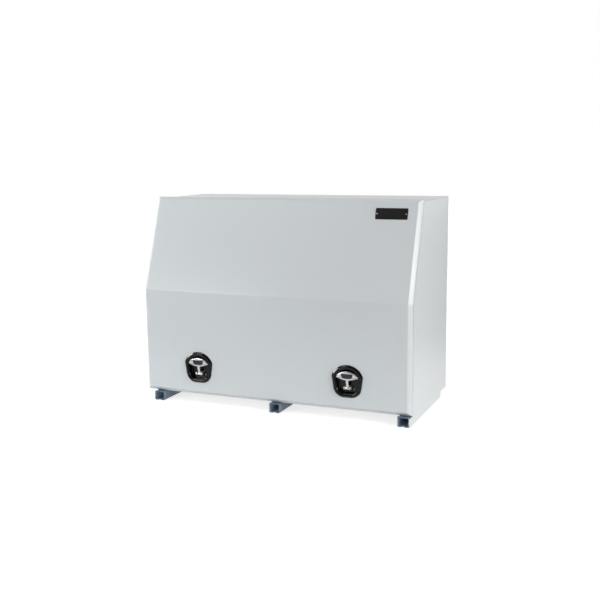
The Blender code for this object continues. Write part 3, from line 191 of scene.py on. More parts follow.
# Key cover from base to top: inset of its outline, and reach
COVER_PROFILE = (
    (0.0, HEAD_FRONT - 0.0013), (0.0, HEAD_FRONT - 0.0002), (0.0003, HEAD_FRONT + 0.0001),
    (0.0009, HEAD_FRONT + 0.00028), (0.0022, HEAD_FRONT + 0.0004), (0.0045, COVER_FRONT),
    (0.0070, COVER_FRONT),
)
SCREW_X = 0.0245
SCREW_DROP = 0.005
SCREW_HEAD = 0.004
SCREW_RISE = 0.0022
SCREW_SHANK = 0.002
SCREW_TAIL = 0.004
SCREW_SLOT = 0.00055
SCREW_SLOT_DEPTH = 0.0013
SCREW_SLOT_SHARE = 0.55
SCREW_SLOT_FADE = 0.8
SCREW_SLOT_RING = 6
SCREW_SEAT_SHARE = 0.97
SCREW_EDGE = 0.0004
SEAT_GAP = 0.0003

# Steps of the locks' curves
BEZEL_BASE_STEPS = 4
CORNER_STEPS = 18
SIDE_STEPS = 6
SHOULDER_STEPS = 8
CROWN_STEPS = 24
FILLET_STEPS = 8
RIM_STEPS = 12
BACK_STEPS = 6
HEAD_STEPS = 112
STEM_STEPS = 32
COVER_STEPS = 64
COVER_TOP_STEPS = 12
FORK_CORNER_STEPS = 8
EAR_STEPS = 24
SCREW_DOME_STEPS = 15
SCREW_STEPS = 64

# Gas struts: the eye on the body's side as y and z, and the way to the door's side
STRUT_X = 0.555
STRUT_BODY_END = (0.0905, 0.760)
STRUT_WAY = (0.0, -0.998505, -0.054654)
STRUT_LENGTH = 0.2253
STRUT_CYLINDER = 0.009
STRUT_ROD = 0.004
STRUT_EYE = 0.008
STRUT_EYE_BORE = 0.0041
STRUT_EYE_HALF = 0.005
STRUT_NECK = 0.018
STRUT_END = 0.1853
STRUT_TAIL = 0.026
EYE_SOFT = 0.0009

# Feet: lipped channel whose lips nearly meet, with a notch between them at the front;
# as large outside as the CAD channel, which has shorter lips and 2.5 mm sheet
FOOT_SHEET = 0.0020
FOOT_LIP = 0.0229
FOOT_NOTCH_LIP = 0.0190
FOOT_NOTCH = 0.007
FOOT_LIP_RISE = 0.0055
FOOT_FOLD = 0.0030
FOOT_NOTCH_STEP = 0.0004
FOOT_EDGE_ROUND = 0.0003
FOOT_STEPS = 12
FOLD_STEPS = 8


def socket_set(node, **values):
    """Sets named input sockets of a shader node; underscores stand for spaces."""
    for name, value in values.items():
        node.inputs[name.replace("_", " ")].default_value = value


class Shade:
    """A Principled material with short calls for the node chains that feed it."""

    def __init__(self, name, colour, roughness, metallic=0.0):
        self.material = bpy.data.materials.new(name)
        self.material.use_nodes = True
        tree = self.material.node_tree
        self.nodes, self.links = tree.nodes, tree.links
        self.surface = self.nodes["Principled BSDF"]
        socket_set(self.surface, Base_Color=(*colour, 1.0), Roughness=roughness, Metallic=metallic)
        self.place = self.nodes.new("ShaderNodeTexCoord")
        self.bumps = []

    def link(self, source, target):
        self.links.new(source, target)
        return self

    def noise(self, scale, detail=2.0, rough=0.5, stretch=(1.0, 1.0, 1.0)):
        """A noise value in object space, stretched along the axes by the given scale."""
        mapping = self.nodes.new("ShaderNodeMapping")
        mapping.inputs["Scale"].default_value = stretch
        self.link(self.place.outputs["Object"], mapping.inputs["Vector"])
        texture = self.nodes.new("ShaderNodeTexNoise")
        socket_set(texture, Scale=scale, Detail=detail, Roughness=rough)
        self.link(mapping.outputs["Vector"], texture.inputs["Vector"])
        return texture.outputs["Fac"]

    def cells(self, scale):
        """The random colour of Voronoi cells, as in zinc spangle."""
        texture = self.nodes.new("ShaderNodeTexVoronoi")
        socket_set(texture, Scale=scale)
        self.link(self.place.outputs["Object"], texture.inputs["Vector"])
        return texture.outputs["Color"]

    def spread(self, value, low, high, from_low=0.3, from_high=0.7):
        """Maps a value range to another one."""
        node = self.nodes.new("ShaderNodeMapRange")
        socket_set(node, From_Min=from_low, From_Max=from_high, To_Min=low, To_Max=high)
        self.link(value, node.inputs["Value"])
        return node.outputs["Result"]

    def blend(self, value, first, second):
        """Blends two colours, or a socket's colour towards another, by a value."""
        node = self.nodes.new("ShaderNodeMix")
        node.data_type = "RGBA"
        self.link(value, node.inputs["Factor"])
        for colour, slot in ((first, node.inputs["A"]), (second, node.inputs["B"])):
            if isinstance(colour, tuple):
                slot.default_value = (*colour, 1.0)
            else:
                self.link(colour, slot)
        return node.outputs["Result"]

    def colour(self, socket):
        return self.link(socket, self.surface.inputs["Base Color"])

    def roughness(self, socket):
        return self.link(socket, self.surface.inputs["Roughness"])

    def bump(self, value, height, strength=1.0):
        """Adds relief of the given height in metres on top of the earlier relief."""
        node = self.nodes.new("ShaderNodeBump")
        socket_set(node, Strength=strength, Distance=height)
        self.link(value, node.inputs["Height"])
        if self.bumps:
            self.link(self.bumps[-1].outputs["Normal"], node.inputs["Normal"])
        self.bumps.append(node)
        self.link(node.outputs["Normal"], self.surface.inputs["Normal"])
        return self


def powder_coat(name, colour, roughness, peel):
    """White powder coat: fine orange peel and faint cloudiness."""
    shade = Shade(name, colour, roughness)
    darker = tuple(COAT_SHADE * c for c in colour)
    shade.colour(shade.blend(shade.spread(shade.noise(*COAT_CLOUDS), 0.0, 1.0), colour, darker))
    low, high = roughness - COAT_GLOSSIER, roughness + COAT_DULLER
    shade.roughness(shade.spread(shade.noise(*COAT_PATCHES), low, high))
    shade.bump(shade.noise(*COAT_PEEL), peel)
    shade.bump(shade.noise(*COAT_RIPPLE), COAT_RIPPLE_HEIGHT * peel)
    return shade.material


def galvanised(name, low, high):
    """Zinc: spangle cells of slightly different grey, with a dull bloom."""
    middle = tuple((a + b) / 2 for a, b in zip(low, high))
    shade = Shade(name, middle, ZINC_ROUGHNESS, ZINC_METALLIC)
    shade.colour(shade.blend(shade.spread(shade.cells(ZINC_SPANGLE), 0.0, 1.0, 0.0, 1.0), low, high))
    shade.roughness(shade.spread(shade.noise(*ZINC_PATCHES), *ZINC_ROUGH_RANGE))
    shade.bump(shade.noise(*ZINC_GRAIN), ZINC_RELIEF)
    return shade.material


def patchy(name, colour, roughness, metallic, patches, rough_range, grain, relief, specular=None):
    """A finish whose gloss varies in patches, with a fine relief; patches and grain are
    noises, as scale and detail and maybe roughness and stretch."""
    shade = Shade(name, colour, roughness, metallic)
    if specular is not None:
        shade.surface.inputs["Specular IOR Level"].default_value = specular
    shade.roughness(shade.spread(shade.noise(*patches), *rough_range))
    shade.bump(shade.noise(*grain), relief)
    return shade.material


def seal_rubber():
    """Matt black foam rubber."""
    shade = Shade("seal_rubber", (0.020, 0.020, 0.021), 0.85)
    clouds = shade.noise(scale=25.0, detail=3.0)
    shade.colour(shade.blend(clouds, (0.016, 0.016, 0.017), (0.034, 0.034, 0.034)))
    shade.bump(shade.noise(scale=900.0, detail=3.0), height=0.00006)
    return shade.material


def name_plate_black():
    """Black anodised plate with a fine brushed grain along its length."""
    shade = Shade("name_plate_black", (0.006, 0.006, 0.0065), 0.34)
    shade.surface.inputs["Specular IOR Level"].default_value = 0.30
    grain = shade.noise(scale=90.0, detail=6.0, rough=0.7, stretch=(0.6, 30.0, 30.0))
    shade.roughness(shade.spread(grain, low=0.26, high=0.42))
    shade.bump(grain, height=0.00001)
    return shade.material


LOOKS = {
    "white_powder_coat": powder_coat("white_gloss_coat", (0.770, 0.818, 0.846), 0.31, 0.00002),
    "white_inner_coat": powder_coat("white_inner_coat", (0.76, 0.77, 0.78), 0.36, 0.00003),
    "galvanised_steel": galvanised("galvanised_zinc", (0.15, 0.205, 0.27), (0.20, 0.26, 0.33)),
    # Bright plated casting with faint handling marks
    "chrome": patchy(
        "chrome_plate", (0.86, 0.86, 0.87), roughness=0.24, metallic=1.0,
        patches=(60.0, 5.0), rough_range=(0.16, 0.27), grain=(240.0, 2.0), relief=0.000012),
    # Gloss black lock casting: deep black with soft dimpling
    "gloss_black_plastic": patchy(
        "gloss_black", (0.0015, 0.0015, 0.0020), roughness=0.08, metallic=0.0,
        patches=(45.0, 5.0), rough_range=(0.06, 0.15), grain=(260.0, 2.0), relief=0.00001,
        specular=0.40),
    "dark_cover_plastic": patchy(
        "dark_cover", (0.008, 0.012, 0.026), roughness=0.16, metallic=0.0,
        patches=(80.0, 4.0), rough_range=(0.12, 0.24), grain=(300.0, 2.0), relief=0.00001,
        specular=0.7),
    # Satin black cylinder paint
    "dark_strut_paint": patchy(
        "strut_black", (0.028, 0.028, 0.031), roughness=0.38, metallic=0.0,
        patches=(50.0, 4.0), rough_range=(0.30, 0.46), grain=(500.0, 2.0), relief=0.000015),
    "seal_rubber": seal_rubber(),
    "name_plate_black": name_plate_black(),
    # Turned and pressed bright steel, its grain stretched
    "plain_steel": patchy(
        "bright_steel", (0.56, 0.56, 0.57), roughness=0.30, metallic=1.0,
        patches=(90.0, 4.0, 0.5, (1.0, 1.0, 6.0)), rough_range=(0.22, 0.42),
        grain=(700.0, 3.0, 0.5, (1.0, 1.0, 8.0)), relief=0.00001),
}

# Plated casting left as cast: duller and rougher than the polished handle
CASTING = patchy(
    "plated_casting", (0.66, 0.66, 0.67), roughness=0.34, metallic=1.0,
    patches=(120.0, 4.0), rough_range=(0.28, 0.42), grain=(420.0, 3.0), relief=0.00002)
# Lighter copy of the zinc for the channels' inner sides: painted light standing in for light reaching
# into the channel
ZINC_PAINTED_LIGHT_INSIDE = galvanised("zinc_painted_light_inside", (0.50, 0.61, 0.72), (0.58, 0.69, 0.79))


def edge_round(name):
    """How much the edges of a CAD node are rounded."""
    return SMALL_EDGE_ROUND if any(word in name for word in SMALL_PARTS) else EDGE_ROUND


def dress_node(name, node):
    """Gives a CAD node its finish, and rounds its hard edges without moving it."""
    for slot_index, old in enumerate(node.data.materials):
        node.data.materials[slot_index] = LOOKS[old.name.split(".")[0]]
    node.data.polygons.foreach_set("use_smooth", [True] * len(node.data.polygons))
    if "custom_normal" in node.data.attributes:
        node.data.attributes.remove(node.data.attributes["custom_normal"])
    weld = node.modifiers.new("weld", "WELD")
    weld.merge_threshold = WELD_DISTANCE
    bevel = node.modifiers.new("edges", "BEVEL")
    bevel.width = edge_round(name)
    bevel.segments = EDGE_STEPS
    bevel.limit_method = "ANGLE"
    bevel.angle_limit = math.radians(EDGE_ANGLE_DEG)
    bevel.harden_normals = True


def arc(centre, radius, start, finish, steps):
    """Points along a circle from one angle to another."""
    angles = [start + (finish - start) * k / steps for k in range(steps + 1)]
    return [(centre[0] + radius * math.cos(a), centre[1] + radius * math.sin(a)) for a in angles]


def shield(inset):
    """Outline of the lock bezel drawn in by inset, as in the CAD solid."""
    taper = math.radians(SIDE_TAPER_DEG)
    down = Vector((-math.sin(taper), -math.cos(taper)))
    inward = Vector((-math.cos(taper), math.sin(taper)))
    crown = Vector((0, CROWN_HEIGHT))
    crown_radius = CROWN_RADIUS - inset
    shoulder_rise = math.sqrt(CROWN_RADIUS ** 2 - SHOULDER_HALF ** 2)
    side = crown + Vector((SHOULDER_HALF, shoulder_rise)) + inward * inset
    reach = side + inward * SHOULDER_RADIUS - crown
    along = reach.dot(down)
    back = math.sqrt(along ** 2 - reach.length_squared + (crown_radius - SHOULDER_RADIUS) ** 2)
    shoulder = crown + reach - down * (along + back)
    turn = math.atan2(shoulder.y - crown.y, shoulder.x - crown.x)
    corner_radius = BEZEL_CORNER - inset
    corner_z = BEZEL_BOTTOM + BEZEL_CORNER
    corner_x = side.x - (corner_radius - (corner_z - side.y) * math.sin(taper)) / math.cos(taper)
    half = [(k / BEZEL_BASE_STEPS * corner_x, BEZEL_BOTTOM + inset) for k in range(BEZEL_BASE_STEPS)]
    half += arc((corner_x, corner_z), corner_radius, -math.pi / 2, -taper, CORNER_STEPS)
    foot, top = Vector(half[-1]), Vector(arc(shoulder, SHOULDER_RADIUS, -taper, turn, 1)[0])
    half += [tuple(foot.lerp(top, k / SIDE_STEPS)) for k in range(1, SIDE_STEPS)]
    half += arc(shoulder, SHOULDER_RADIUS, -taper, turn, SHOULDER_STEPS)
    half += arc(crown, crown_radius, turn, math.pi / 2, CROWN_STEPS)[1:]
    return half + [(-x, z) for x, z in half[-2:0:-1]]


def lock_point(x_mid, x, reach, z):
    """A point of a closed lock in the shared frame; reach is how far it stands in front of
    the plane y = ROW_SHIFT_Y."""
    return Vector((x_mid + x, ROW_SHIFT_Y - reach, z))


def add_piece(name, bm, look, stands_for, body, round_edges=0.0, finish=None):
    """Makes a smooth piece from a bmesh, dresses it, and puts it on its CAD body."""
    bmesh.ops.recalc_face_normals(bm, faces=bm.faces)
    mesh = bpy.data.meshes.new(name)
    bm.to_mesh(mesh)
    bm.free()
    mesh.polygons.foreach_set("use_smooth", [True] * len(mesh.polygons))
    if not round_edges:
        mesh.set_sharp_from_angle(angle=math.radians(CREASE_DEG))
    mesh.materials.append(finish or LOOKS[look])
    piece = bpy.data.objects.new(name, mesh)
    bpy.context.scene.collection.objects.link(piece)
    if round_edges:
        bevel = piece.modifiers.new("edges", "BEVEL")
        bevel.width = round_edges
        bevel.segments = PIECE_EDGE_STEPS
        bevel.limit_method = "ANGLE"
        bevel.angle_limit = math.radians(PIECE_EDGE_ANGLE_DEG)
        bevel.harden_normals = True
    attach(piece, body)
    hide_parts(stands_for)
    return piece


def loft(bm, rings, closed=False, caps=True):
    """Skins rings of equal point counts; closed joins the last ring to the first."""
    rows = [[bm.verts.new(p) for p in ring] for ring in rings]
    pairs = list(zip(rows, rows[1:]))
    if closed:
        pairs.append((rows[-1], rows[0]))
    for low, high in pairs:
        for k in range(len(low)):
            m = (k + 1) % len(low)
            bm.faces.new((low[k], low[m], high[m], high[k]))
    if caps and not closed:
        bm.faces.new(rows[0])
        bm.faces.new(rows[-1])


def dish_rings(x_mid):
    """Rings of the dish from the bore's front edge out over the rim and back behind it."""
    quarter_turn = math.pi / 2
    fillet_top = RECESS_FLOOR + RECESS_FILLET
    wall = DOOR_FACE - RECESS_FLOOR - RECESS_FILLET
    profile = []
    for k in range(FILLET_STEPS + 1):
        a = quarter_turn * k / FILLET_STEPS
        profile.append((RIM_WIDTH + RECESS_FILLET * (1 - math.sin(a)),
                        RECESS_FLOOR + RECESS_FILLET * (1 - math.cos(a))))
    profile += [(RIM_WIDTH, fillet_top + share * wall) for share in WALL_SHARES]
    fall = RIM_WIDTH - RIM_CREST_IN
    for k in range(RIM_STEPS + 1):
        a = quarter_turn * (1 - k / RIM_STEPS)
        profile.append((RIM_CREST_IN + fall * math.sin(a),
                        RIM_CREST - (RIM_CREST - DOOR_FACE) * (1 - math.cos(a))))
    rise = RIM_CREST - DOOR_FACE - RIM_EDGE_RISE
    for inset, share in RIM_FLANK:
        profile.append((RIM_CREST_IN * inset, DOOR_FACE + RIM_EDGE_RISE + rise * share))
    inner = RIM_WIDTH - DISH_SHEET
    outer = RECESS_FILLET + DISH_SHEET
    profile += [(0.0, DOOR_FACE), (inner, DOOR_FACE)]
    for k in range(BACK_STEPS + 1):
        a = quarter_turn * k / BACK_STEPS
        profile.append((inner + outer * (1 - math.cos(a)), fillet_top - outer * math.sin(a)))
    rings = [[lock_point(x_mid, x, reach, z) for x, z in shield(inset)] for inset, reach in profile]

    def bore(like, reach):
        radius = SPINDLE_RADIUS + SEAT_GAP
        ring = []
        for point in like:
            a = math.atan2(point.z - SPINDLE_HEIGHT, point.x - x_mid)
            z = SPINDLE_HEIGHT + radius * math.sin(a)
            ring.append(lock_point(x_mid, radius * math.cos(a), reach, z))
        return ring

    return [bore(rings[0], RECESS_FLOOR)] + rings + [bore(rings[-1], RECESS_FLOOR - DISH_SHEET)]


def head_ring(x_mid, scale, reach, bow):
    """Outline of the handle head: a leaf with a high back, its ends bowed outwards."""
    if scale > HEAD_CORE_SCALE:
        width = HEAD_HALF_WIDTH - (1 - scale) * HEAD_RISE
    else:
        width = HEAD_HALF_WIDTH * (scale + HEAD_CORE_EXTRA)
    ring = []
    for i in range(HEAD_STEPS):
        a = math.tau * i / HEAD_STEPS
        s = math.sin(a)
        z = HEAD_RISE * s ** HEAD_TOP_POWER if s > 0 else -HEAD_FALL * (-s) ** HEAD_BASE_POWER
        out = reach + bow * math.cos(a) ** 2
        ring.append(lock_point(x_mid, width * math.cos(a), out, HEAD_HEIGHT + scale * z))
    return ring


def stem_rings(x_mid):
    """Rounded sections down the stem, from the head into the hub."""
    span = HEAD_HEIGHT - SPINDLE_HEIGHT
    rings = []
    for share, back, front, width in STEM_STATIONS:
        middle, thick, half = (back + front) / 2, (front - back) / 2, STEM_HALF * width
        ring = []
        for k in range(STEM_STEPS):
            c, s = math.cos(math.tau * k / STEM_STEPS), math.sin(math.tau * k / STEM_STEPS)
            x = math.copysign(abs(c) ** STEM_POWER, c) * half
            reach = middle + math.copysign(abs(s) ** STEM_POWER, s) * thick
            ring.append(lock_point(x_mid, x, reach, SPINDLE_HEIGHT + span * share))
        rings.append(ring)
    return rings


def turned_rings(profile, centre, axis, steps):
    """Rings of a turned form: profile holds (radius, distance along the axis)."""
    axis = axis.normalized()
    across = axis.orthogonal().normalized()
    third = axis.cross(across)
    rings = []
    for radius, along in profile:
        rings.append([centre + axis * along + (across * math.cos(math.tau * k / steps)
                      + third * math.sin(math.tau * k / steps)) * radius for k in range(steps)])
    return rings


def cover_ring(x_mid, inset, reach):
    """Flat topped D of the key cover, drawn in all round."""
    top = HEAD_HEIGHT + COVER_TOP_RISE
    ring = []
    for k in range(COVER_STEPS + 1):
        a = math.pi + math.pi * k / COVER_STEPS
        c = math.copysign(abs(math.cos(a)) ** COVER_SIDE_POWER, math.cos(a))
        s = -abs(math.sin(a)) ** COVER_BASE_POWER
        ring.append(((COVER_HALF_WIDTH - inset) * c, top - inset + (COVER_HEIGHT - 2 * inset) * s))
    ring[0], ring[-1] = (ring[0][0], top - inset), (ring[-1][0], top - inset)
    ends = ring[-1][0], ring[0][0]
    ring += [(ends[0] + (ends[1] - ends[0]) * k / COVER_TOP_STEPS, top - inset)
             for k in range(1, COVER_TOP_STEPS)]
    return [lock_point(x_mid, x, reach, z) for x, z in ring]


def prism(bm, outline, place, start, finish):
    """A closed bar along the third figure of place."""
    loft(bm, [[place(u, v, start) for u, v in outline], [place(u, v, finish) for u, v in outline]])


def add_lock(side, x_mid, inward):
    """The folding T-handle lock: dish, fork, handle, key cover and two screws."""
    bm = bmesh.new()
    loft(bm, dish_rings(x_mid), closed=True)
    add_piece("dish_shell_" + side, bm, "gloss_black_plastic", "lock_dish_" + side, "door")

    bm = bmesh.new()
    thick = HEAD_FRONT - HEAD_BACK
    loft(bm, [head_ring(x_mid, scale, HEAD_BACK + thick * depth, HEAD_BOW * bow)
              for scale, depth, bow in HEAD_PROFILE])
    loft(bm, stem_rings(x_mid))
    pivot = lock_point(x_mid, 0, PIVOT_REACH, SPINDLE_HEIGHT)
    soft, part = HUB_SOFT, SOFT_SHARE * HUB_SOFT
    hub = [(HUB_RADIUS - soft, -HUB_HALF), (HUB_RADIUS - part, -HUB_HALF + part),
           (HUB_RADIUS, -HUB_HALF + soft), (HUB_RADIUS, HUB_HALF - soft),
           (HUB_RADIUS - part, HUB_HALF - part), (HUB_RADIUS - soft, HUB_HALF)]
    loft(bm, turned_rings(hub, pivot, Vector((1, 0, 0)), TURNED_STEPS))
    add_piece("tee_handle_" + side, bm, "chrome", "lock_handle_" + side, "lock_handle_" + side + "_body")

    bm = bmesh.new()
    loft(bm, [cover_ring(x_mid, inset, reach) for inset, reach in COVER_PROFILE])
    add_piece("key_cover_" + side, bm, "dark_cover_plastic", "lock_cover_" + side,
              "lock_handle_" + side + "_body")

    bm = bmesh.new()
    low = RECESS_FLOOR + SEAT_GAP
    corner = FORK_RISE / 2
    plate = []
    for cx, cz, start in ((1, 1, 0), (-1, 1, 1), (-1, -1, 2), (1, -1, 3)):
        centre = (cx * (FORK_HALF - corner), SPINDLE_HEIGHT + cz * (FORK_RISE - corner))
        plate += arc(centre, corner, start * math.pi / 2, (start + 1) * math.pi / 2,
                     FORK_CORNER_STEPS)
    prism(bm, plate, lambda u, v, w: lock_point(x_mid, u, w, v), low, low + FORK_BASE)
    ear = arc((PIVOT_REACH, SPINDLE_HEIGHT), EAR_RADIUS, -math.pi / 2, math.pi / 2, EAR_STEPS)
    root = low + FORK_BASE / 2
    ear += [(root, SPINDLE_HEIGHT + EAR_RADIUS), (root, SPINDLE_HEIGHT - EAR_RADIUS)]
    for sign in (-1, 1):
        prism(bm, ear, lambda u, v, w: lock_point(x_mid, w, u, v), sign * (HUB_HALF + HUB_PLAY),
              sign * (FORK_HALF - SEAT_GAP))
    shaft = [(SPINDLE_RADIUS, -low - FORK_BASE / 2), (SPINDLE_RADIUS, SHAFT_SHOULDER),
             (STUD_RADIUS, SHAFT_SHOULDER), (STUD_RADIUS, STUD_END)]
    shaft_start = lock_point(x_mid, 0, 0, SPINDLE_HEIGHT)
    loft(bm, turned_rings(shaft, shaft_start, Vector((0, 1, 0)), SMALL_TURNED_STEPS))
    add_piece("fork_spindle_" + side, bm, "chrome", "lock_spindle_" + side,
              "lock_spindle_" + side + "_body", FORK_EDGE_ROUND, CASTING)

    for end, dx in (("outer", -inward * SCREW_X), ("inner", inward * SCREW_X)):
        centre = lock_point(x_mid, dx, RECESS_FLOOR, SPINDLE_HEIGHT - SCREW_DROP)
        bm = bmesh.new()
        pan_screw(bm, centre, Vector((0, -1, 0)))
        add_piece("pan_screw_" + side + "_" + end, bm, "plain_steel",
                  "lock_screw_" + side + "_" + end, "door")


def pan_screw(bm, centre, axis):
    """Cross recess pan head with its shank: the cross is pressed into the dome."""
    edge = SEAT_GAP + SCREW_EDGE
    profile = [(SCREW_SHANK, -SCREW_TAIL), (SCREW_SHANK, 0.0),
               (SCREW_HEAD * SCREW_SEAT_SHARE, SEAT_GAP), (SCREW_HEAD, edge)]
    for k in range(1, SCREW_DOME_STEPS):
        a = math.pi / 2 * k / SCREW_DOME_STEPS
        profile.append((SCREW_HEAD * math.cos(a), edge + (SCREW_RISE - SCREW_EDGE) * math.sin(a)))
    rings = turned_rings(profile, centre, axis, SCREW_STEPS)
    top = centre + axis * (SEAT_GAP + SCREW_RISE)
    across = axis.orthogonal().normalized()
    third = axis.cross(across)
    for ring in rings[SCREW_SLOT_RING:]:
        for k, point in enumerate(ring):
            u, v = abs((point - top).dot(across)), abs((point - top).dot(third))
            if min(u, v) < SCREW_SLOT and max(u, v) < SCREW_SLOT_SHARE * SCREW_HEAD:
                depth = 1 - max(u, v) / (SCREW_SLOT_FADE * SCREW_HEAD)
                ring[k] = point - axis * SCREW_SLOT_DEPTH * depth
    loft(bm, rings)


def add_strut(side, hand):
    """Gas strut: painted cylinder with its crimps and end fitting, and a polished rod."""
    body_end = Vector((hand * STRUT_X, *STRUT_BODY_END))
    way = Vector(STRUT_WAY)
    end, radius, rod = STRUT_END, STRUT_CYLINDER, STRUT_ROD
    across = Vector((1, 0, 0))
    bm = bmesh.new()
    # Each pair is a radius and a distance from the eye on the body's side
    tube = [
        (rod, STRUT_EYE / 2), (rod, 0.0125), (rod + 0.0018, 0.0135), (rod + 0.0018, 0.0172),
        (rod + 0.0008, 0.0182),
        (0.0060, STRUT_NECK + 0.0006), (0.0074, STRUT_NECK + 0.0012), (0.0083, STRUT_NECK + 0.0023),
        (radius, STRUT_NECK + 0.0040), (radius, end - 0.0210), (radius - 0.0006, end - 0.0202),
        (radius - 0.0008, end - 0.0192), (radius - 0.0006, end - 0.0182), (radius, end - 0.0174),
        (radius, end - 0.0030), (radius - 0.0003, end - 0.0014), (radius - 0.0012, end - 0.0004),
        (radius - 0.0024, end), (rod + 0.0012, end), (rod + 0.0003, end - 0.0009),
        (rod + 0.0003, end - 0.0040),
    ]
    loft(bm, turned_rings(tube, body_end, way, TURNED_STEPS))
    eye_loop(bm, body_end, across)
    add_piece("gas_cylinder_" + side, bm, "dark_strut_paint", "strut_cylinder_" + side,
              "strut_cylinder_" + side + "_body")

    door_end = body_end + way * STRUT_LENGTH
    bm = bmesh.new()
    shaft = [
        (rod - 0.0006, STRUT_TAIL), (rod, STRUT_TAIL + 0.0006), (rod, STRUT_LENGTH - 0.0182),
        (rod + 0.0008, STRUT_LENGTH - 0.0178), (rod + 0.0013, STRUT_LENGTH - 0.0170),
        (rod + 0.0013, STRUT_LENGTH - 0.0128), (rod + 0.0006, STRUT_LENGTH - 0.0120),
        (rod, STRUT_LENGTH - 0.0114), (rod, STRUT_LENGTH - 0.0060),
    ]
    loft(bm, turned_rings(shaft, body_end, way, TURNED_STEPS))
    eye_loop(bm, door_end, across)
    add_piece("gas_rod_" + side, bm, "plain_steel", "strut_rod_" + side, "strut_rod_" + side + "_body")


def eye_loop(bm, centre, axis):
    """Eye of a strut end, with soft edges round a plain bore."""
    outer, bore, half, soft = STRUT_EYE, STRUT_EYE_BORE, STRUT_EYE_HALF, EYE_SOFT
    part = SOFT_SHARE * soft
    section = [
        (bore, -half + soft / 3), (bore + soft / 3, -half), (outer - soft, -half),
        (outer - part, -half + part), (outer, -half + soft), (outer, half - soft),
        (outer - part, half - part), (outer - soft, half), (bore + soft / 3, half),
        (bore, half - soft / 3),
    ]
    loft(bm, turned_rings(section, centre, axis, SMALL_TURNED_STEPS), closed=True)


def round_path(points, radius):
    """An open path of right angles with each inner corner replaced by an arc."""
    path = [points[0]]
    for before, corner, after in zip(points, points[1:], points[2:]):
        corner = Vector(corner)
        back = (Vector(before) - corner).normalized()
        ahead = (Vector(after) - corner).normalized()
        start, finish = corner + back * radius, corner + ahead * radius
        centre = corner + (back + ahead) * radius
        for k in range(FOLD_STEPS + 1):
            out = (start.lerp(finish, k / FOLD_STEPS) - centre).normalized()
            path.append(tuple(centre + out * radius))
    return path + [points[-1]]


def add_foot(side):
    """Cold rolled lipped channel with rounded folds and a notch between its lips in front."""
    lo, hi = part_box("foot_channel_" + side)
    x0, x1, top, t = lo[0], hi[0], hi[2], FOOT_SHEET

    def section(y, lip):
        outer = [
            (x0 + lip, FOOT_LIP_RISE), (x0 + lip, 0.0), (x0, 0.0), (x0, top),
            (x1, top), (x1, 0.0), (x1 - lip, 0.0), (x1 - lip, FOOT_LIP_RISE),
        ]
        inner = [
            (x0 + lip - t, FOOT_LIP_RISE), (x0 + lip - t, t), (x0 + t, t), (x0 + t, top - t),
            (x1 - t, top - t), (x1 - t, t), (x1 - lip + t, t), (x1 - lip + t, FOOT_LIP_RISE),
        ]
        outline = round_path(outer, FOOT_FOLD) + round_path(inner, FOOT_FOLD - t)[::-1]
        return [Vector((x, y, z)) for x, z in outline]

    notch = lo[1] + FOOT_NOTCH
    places = [(lo[1], FOOT_NOTCH_LIP), (notch, FOOT_NOTCH_LIP), (notch + FOOT_NOTCH_STEP, FOOT_LIP)]
    places += [(notch + (hi[1] - notch) * k / FOOT_STEPS, FOOT_LIP) for k in range(1, FOOT_STEPS + 1)]
    rings = [section(y, lip) for y, lip in places]
    bm = bmesh.new()
    loft(bm, rings)
    piece = add_piece("lipped_channel_" + side, bm, "galvanised_steel", "foot_channel_" + side, "box",
                      FOOT_EDGE_ROUND)
    piece.data.materials.append(ZINC_PAINTED_LIGHT_INSIDE)
    # The second half of each ring is the channel's inner side, which gets the lighter zinc: painted
    # light inside the channel
    points = len(rings[0])
    for polygon in piece.data.polygons[:points * (len(rings) - 1)]:
        if points // 2 <= polygon.index % points < points - 1:
            polygon.material_index = 1


def make_camera():
    """Puts the camera where the photograph was taken from."""
    azimuth = math.radians(CAMERA_AZIMUTH_DEG)
    elevation = math.radians(CAMERA_ELEVATION_DEG)
    roll = math.radians(CAMERA_ROLL_DEG)
    right = Vector((math.cos(azimuth), math.sin(azimuth), 0.0))
    forward = Vector((
        -math.sin(azimuth) * math.cos(elevation),
        math.cos(azimuth) * math.cos(elevation),
        -math.sin(elevation),
    ))
    up = right.cross(forward)
    rolled_right = right * math.cos(roll) + up * math.sin(roll)
    rolled_up = up * math.cos(roll) - right * math.sin(roll)
    turn = Matrix((rolled_right, rolled_up, -forward)).transposed()
    data = bpy.data.cameras.new("camera")
    data.sensor_width = SENSOR_WIDTH
    data.lens = CAMERA_LENS
    camera = bpy.data.objects.new("camera", data)
    camera.matrix_world = Matrix.Translation(CAMERA_PLACE) @ turn.to_4x4()
    bpy.context.scene.collection.objects.link(camera)
    bpy.context.scene.camera = camera


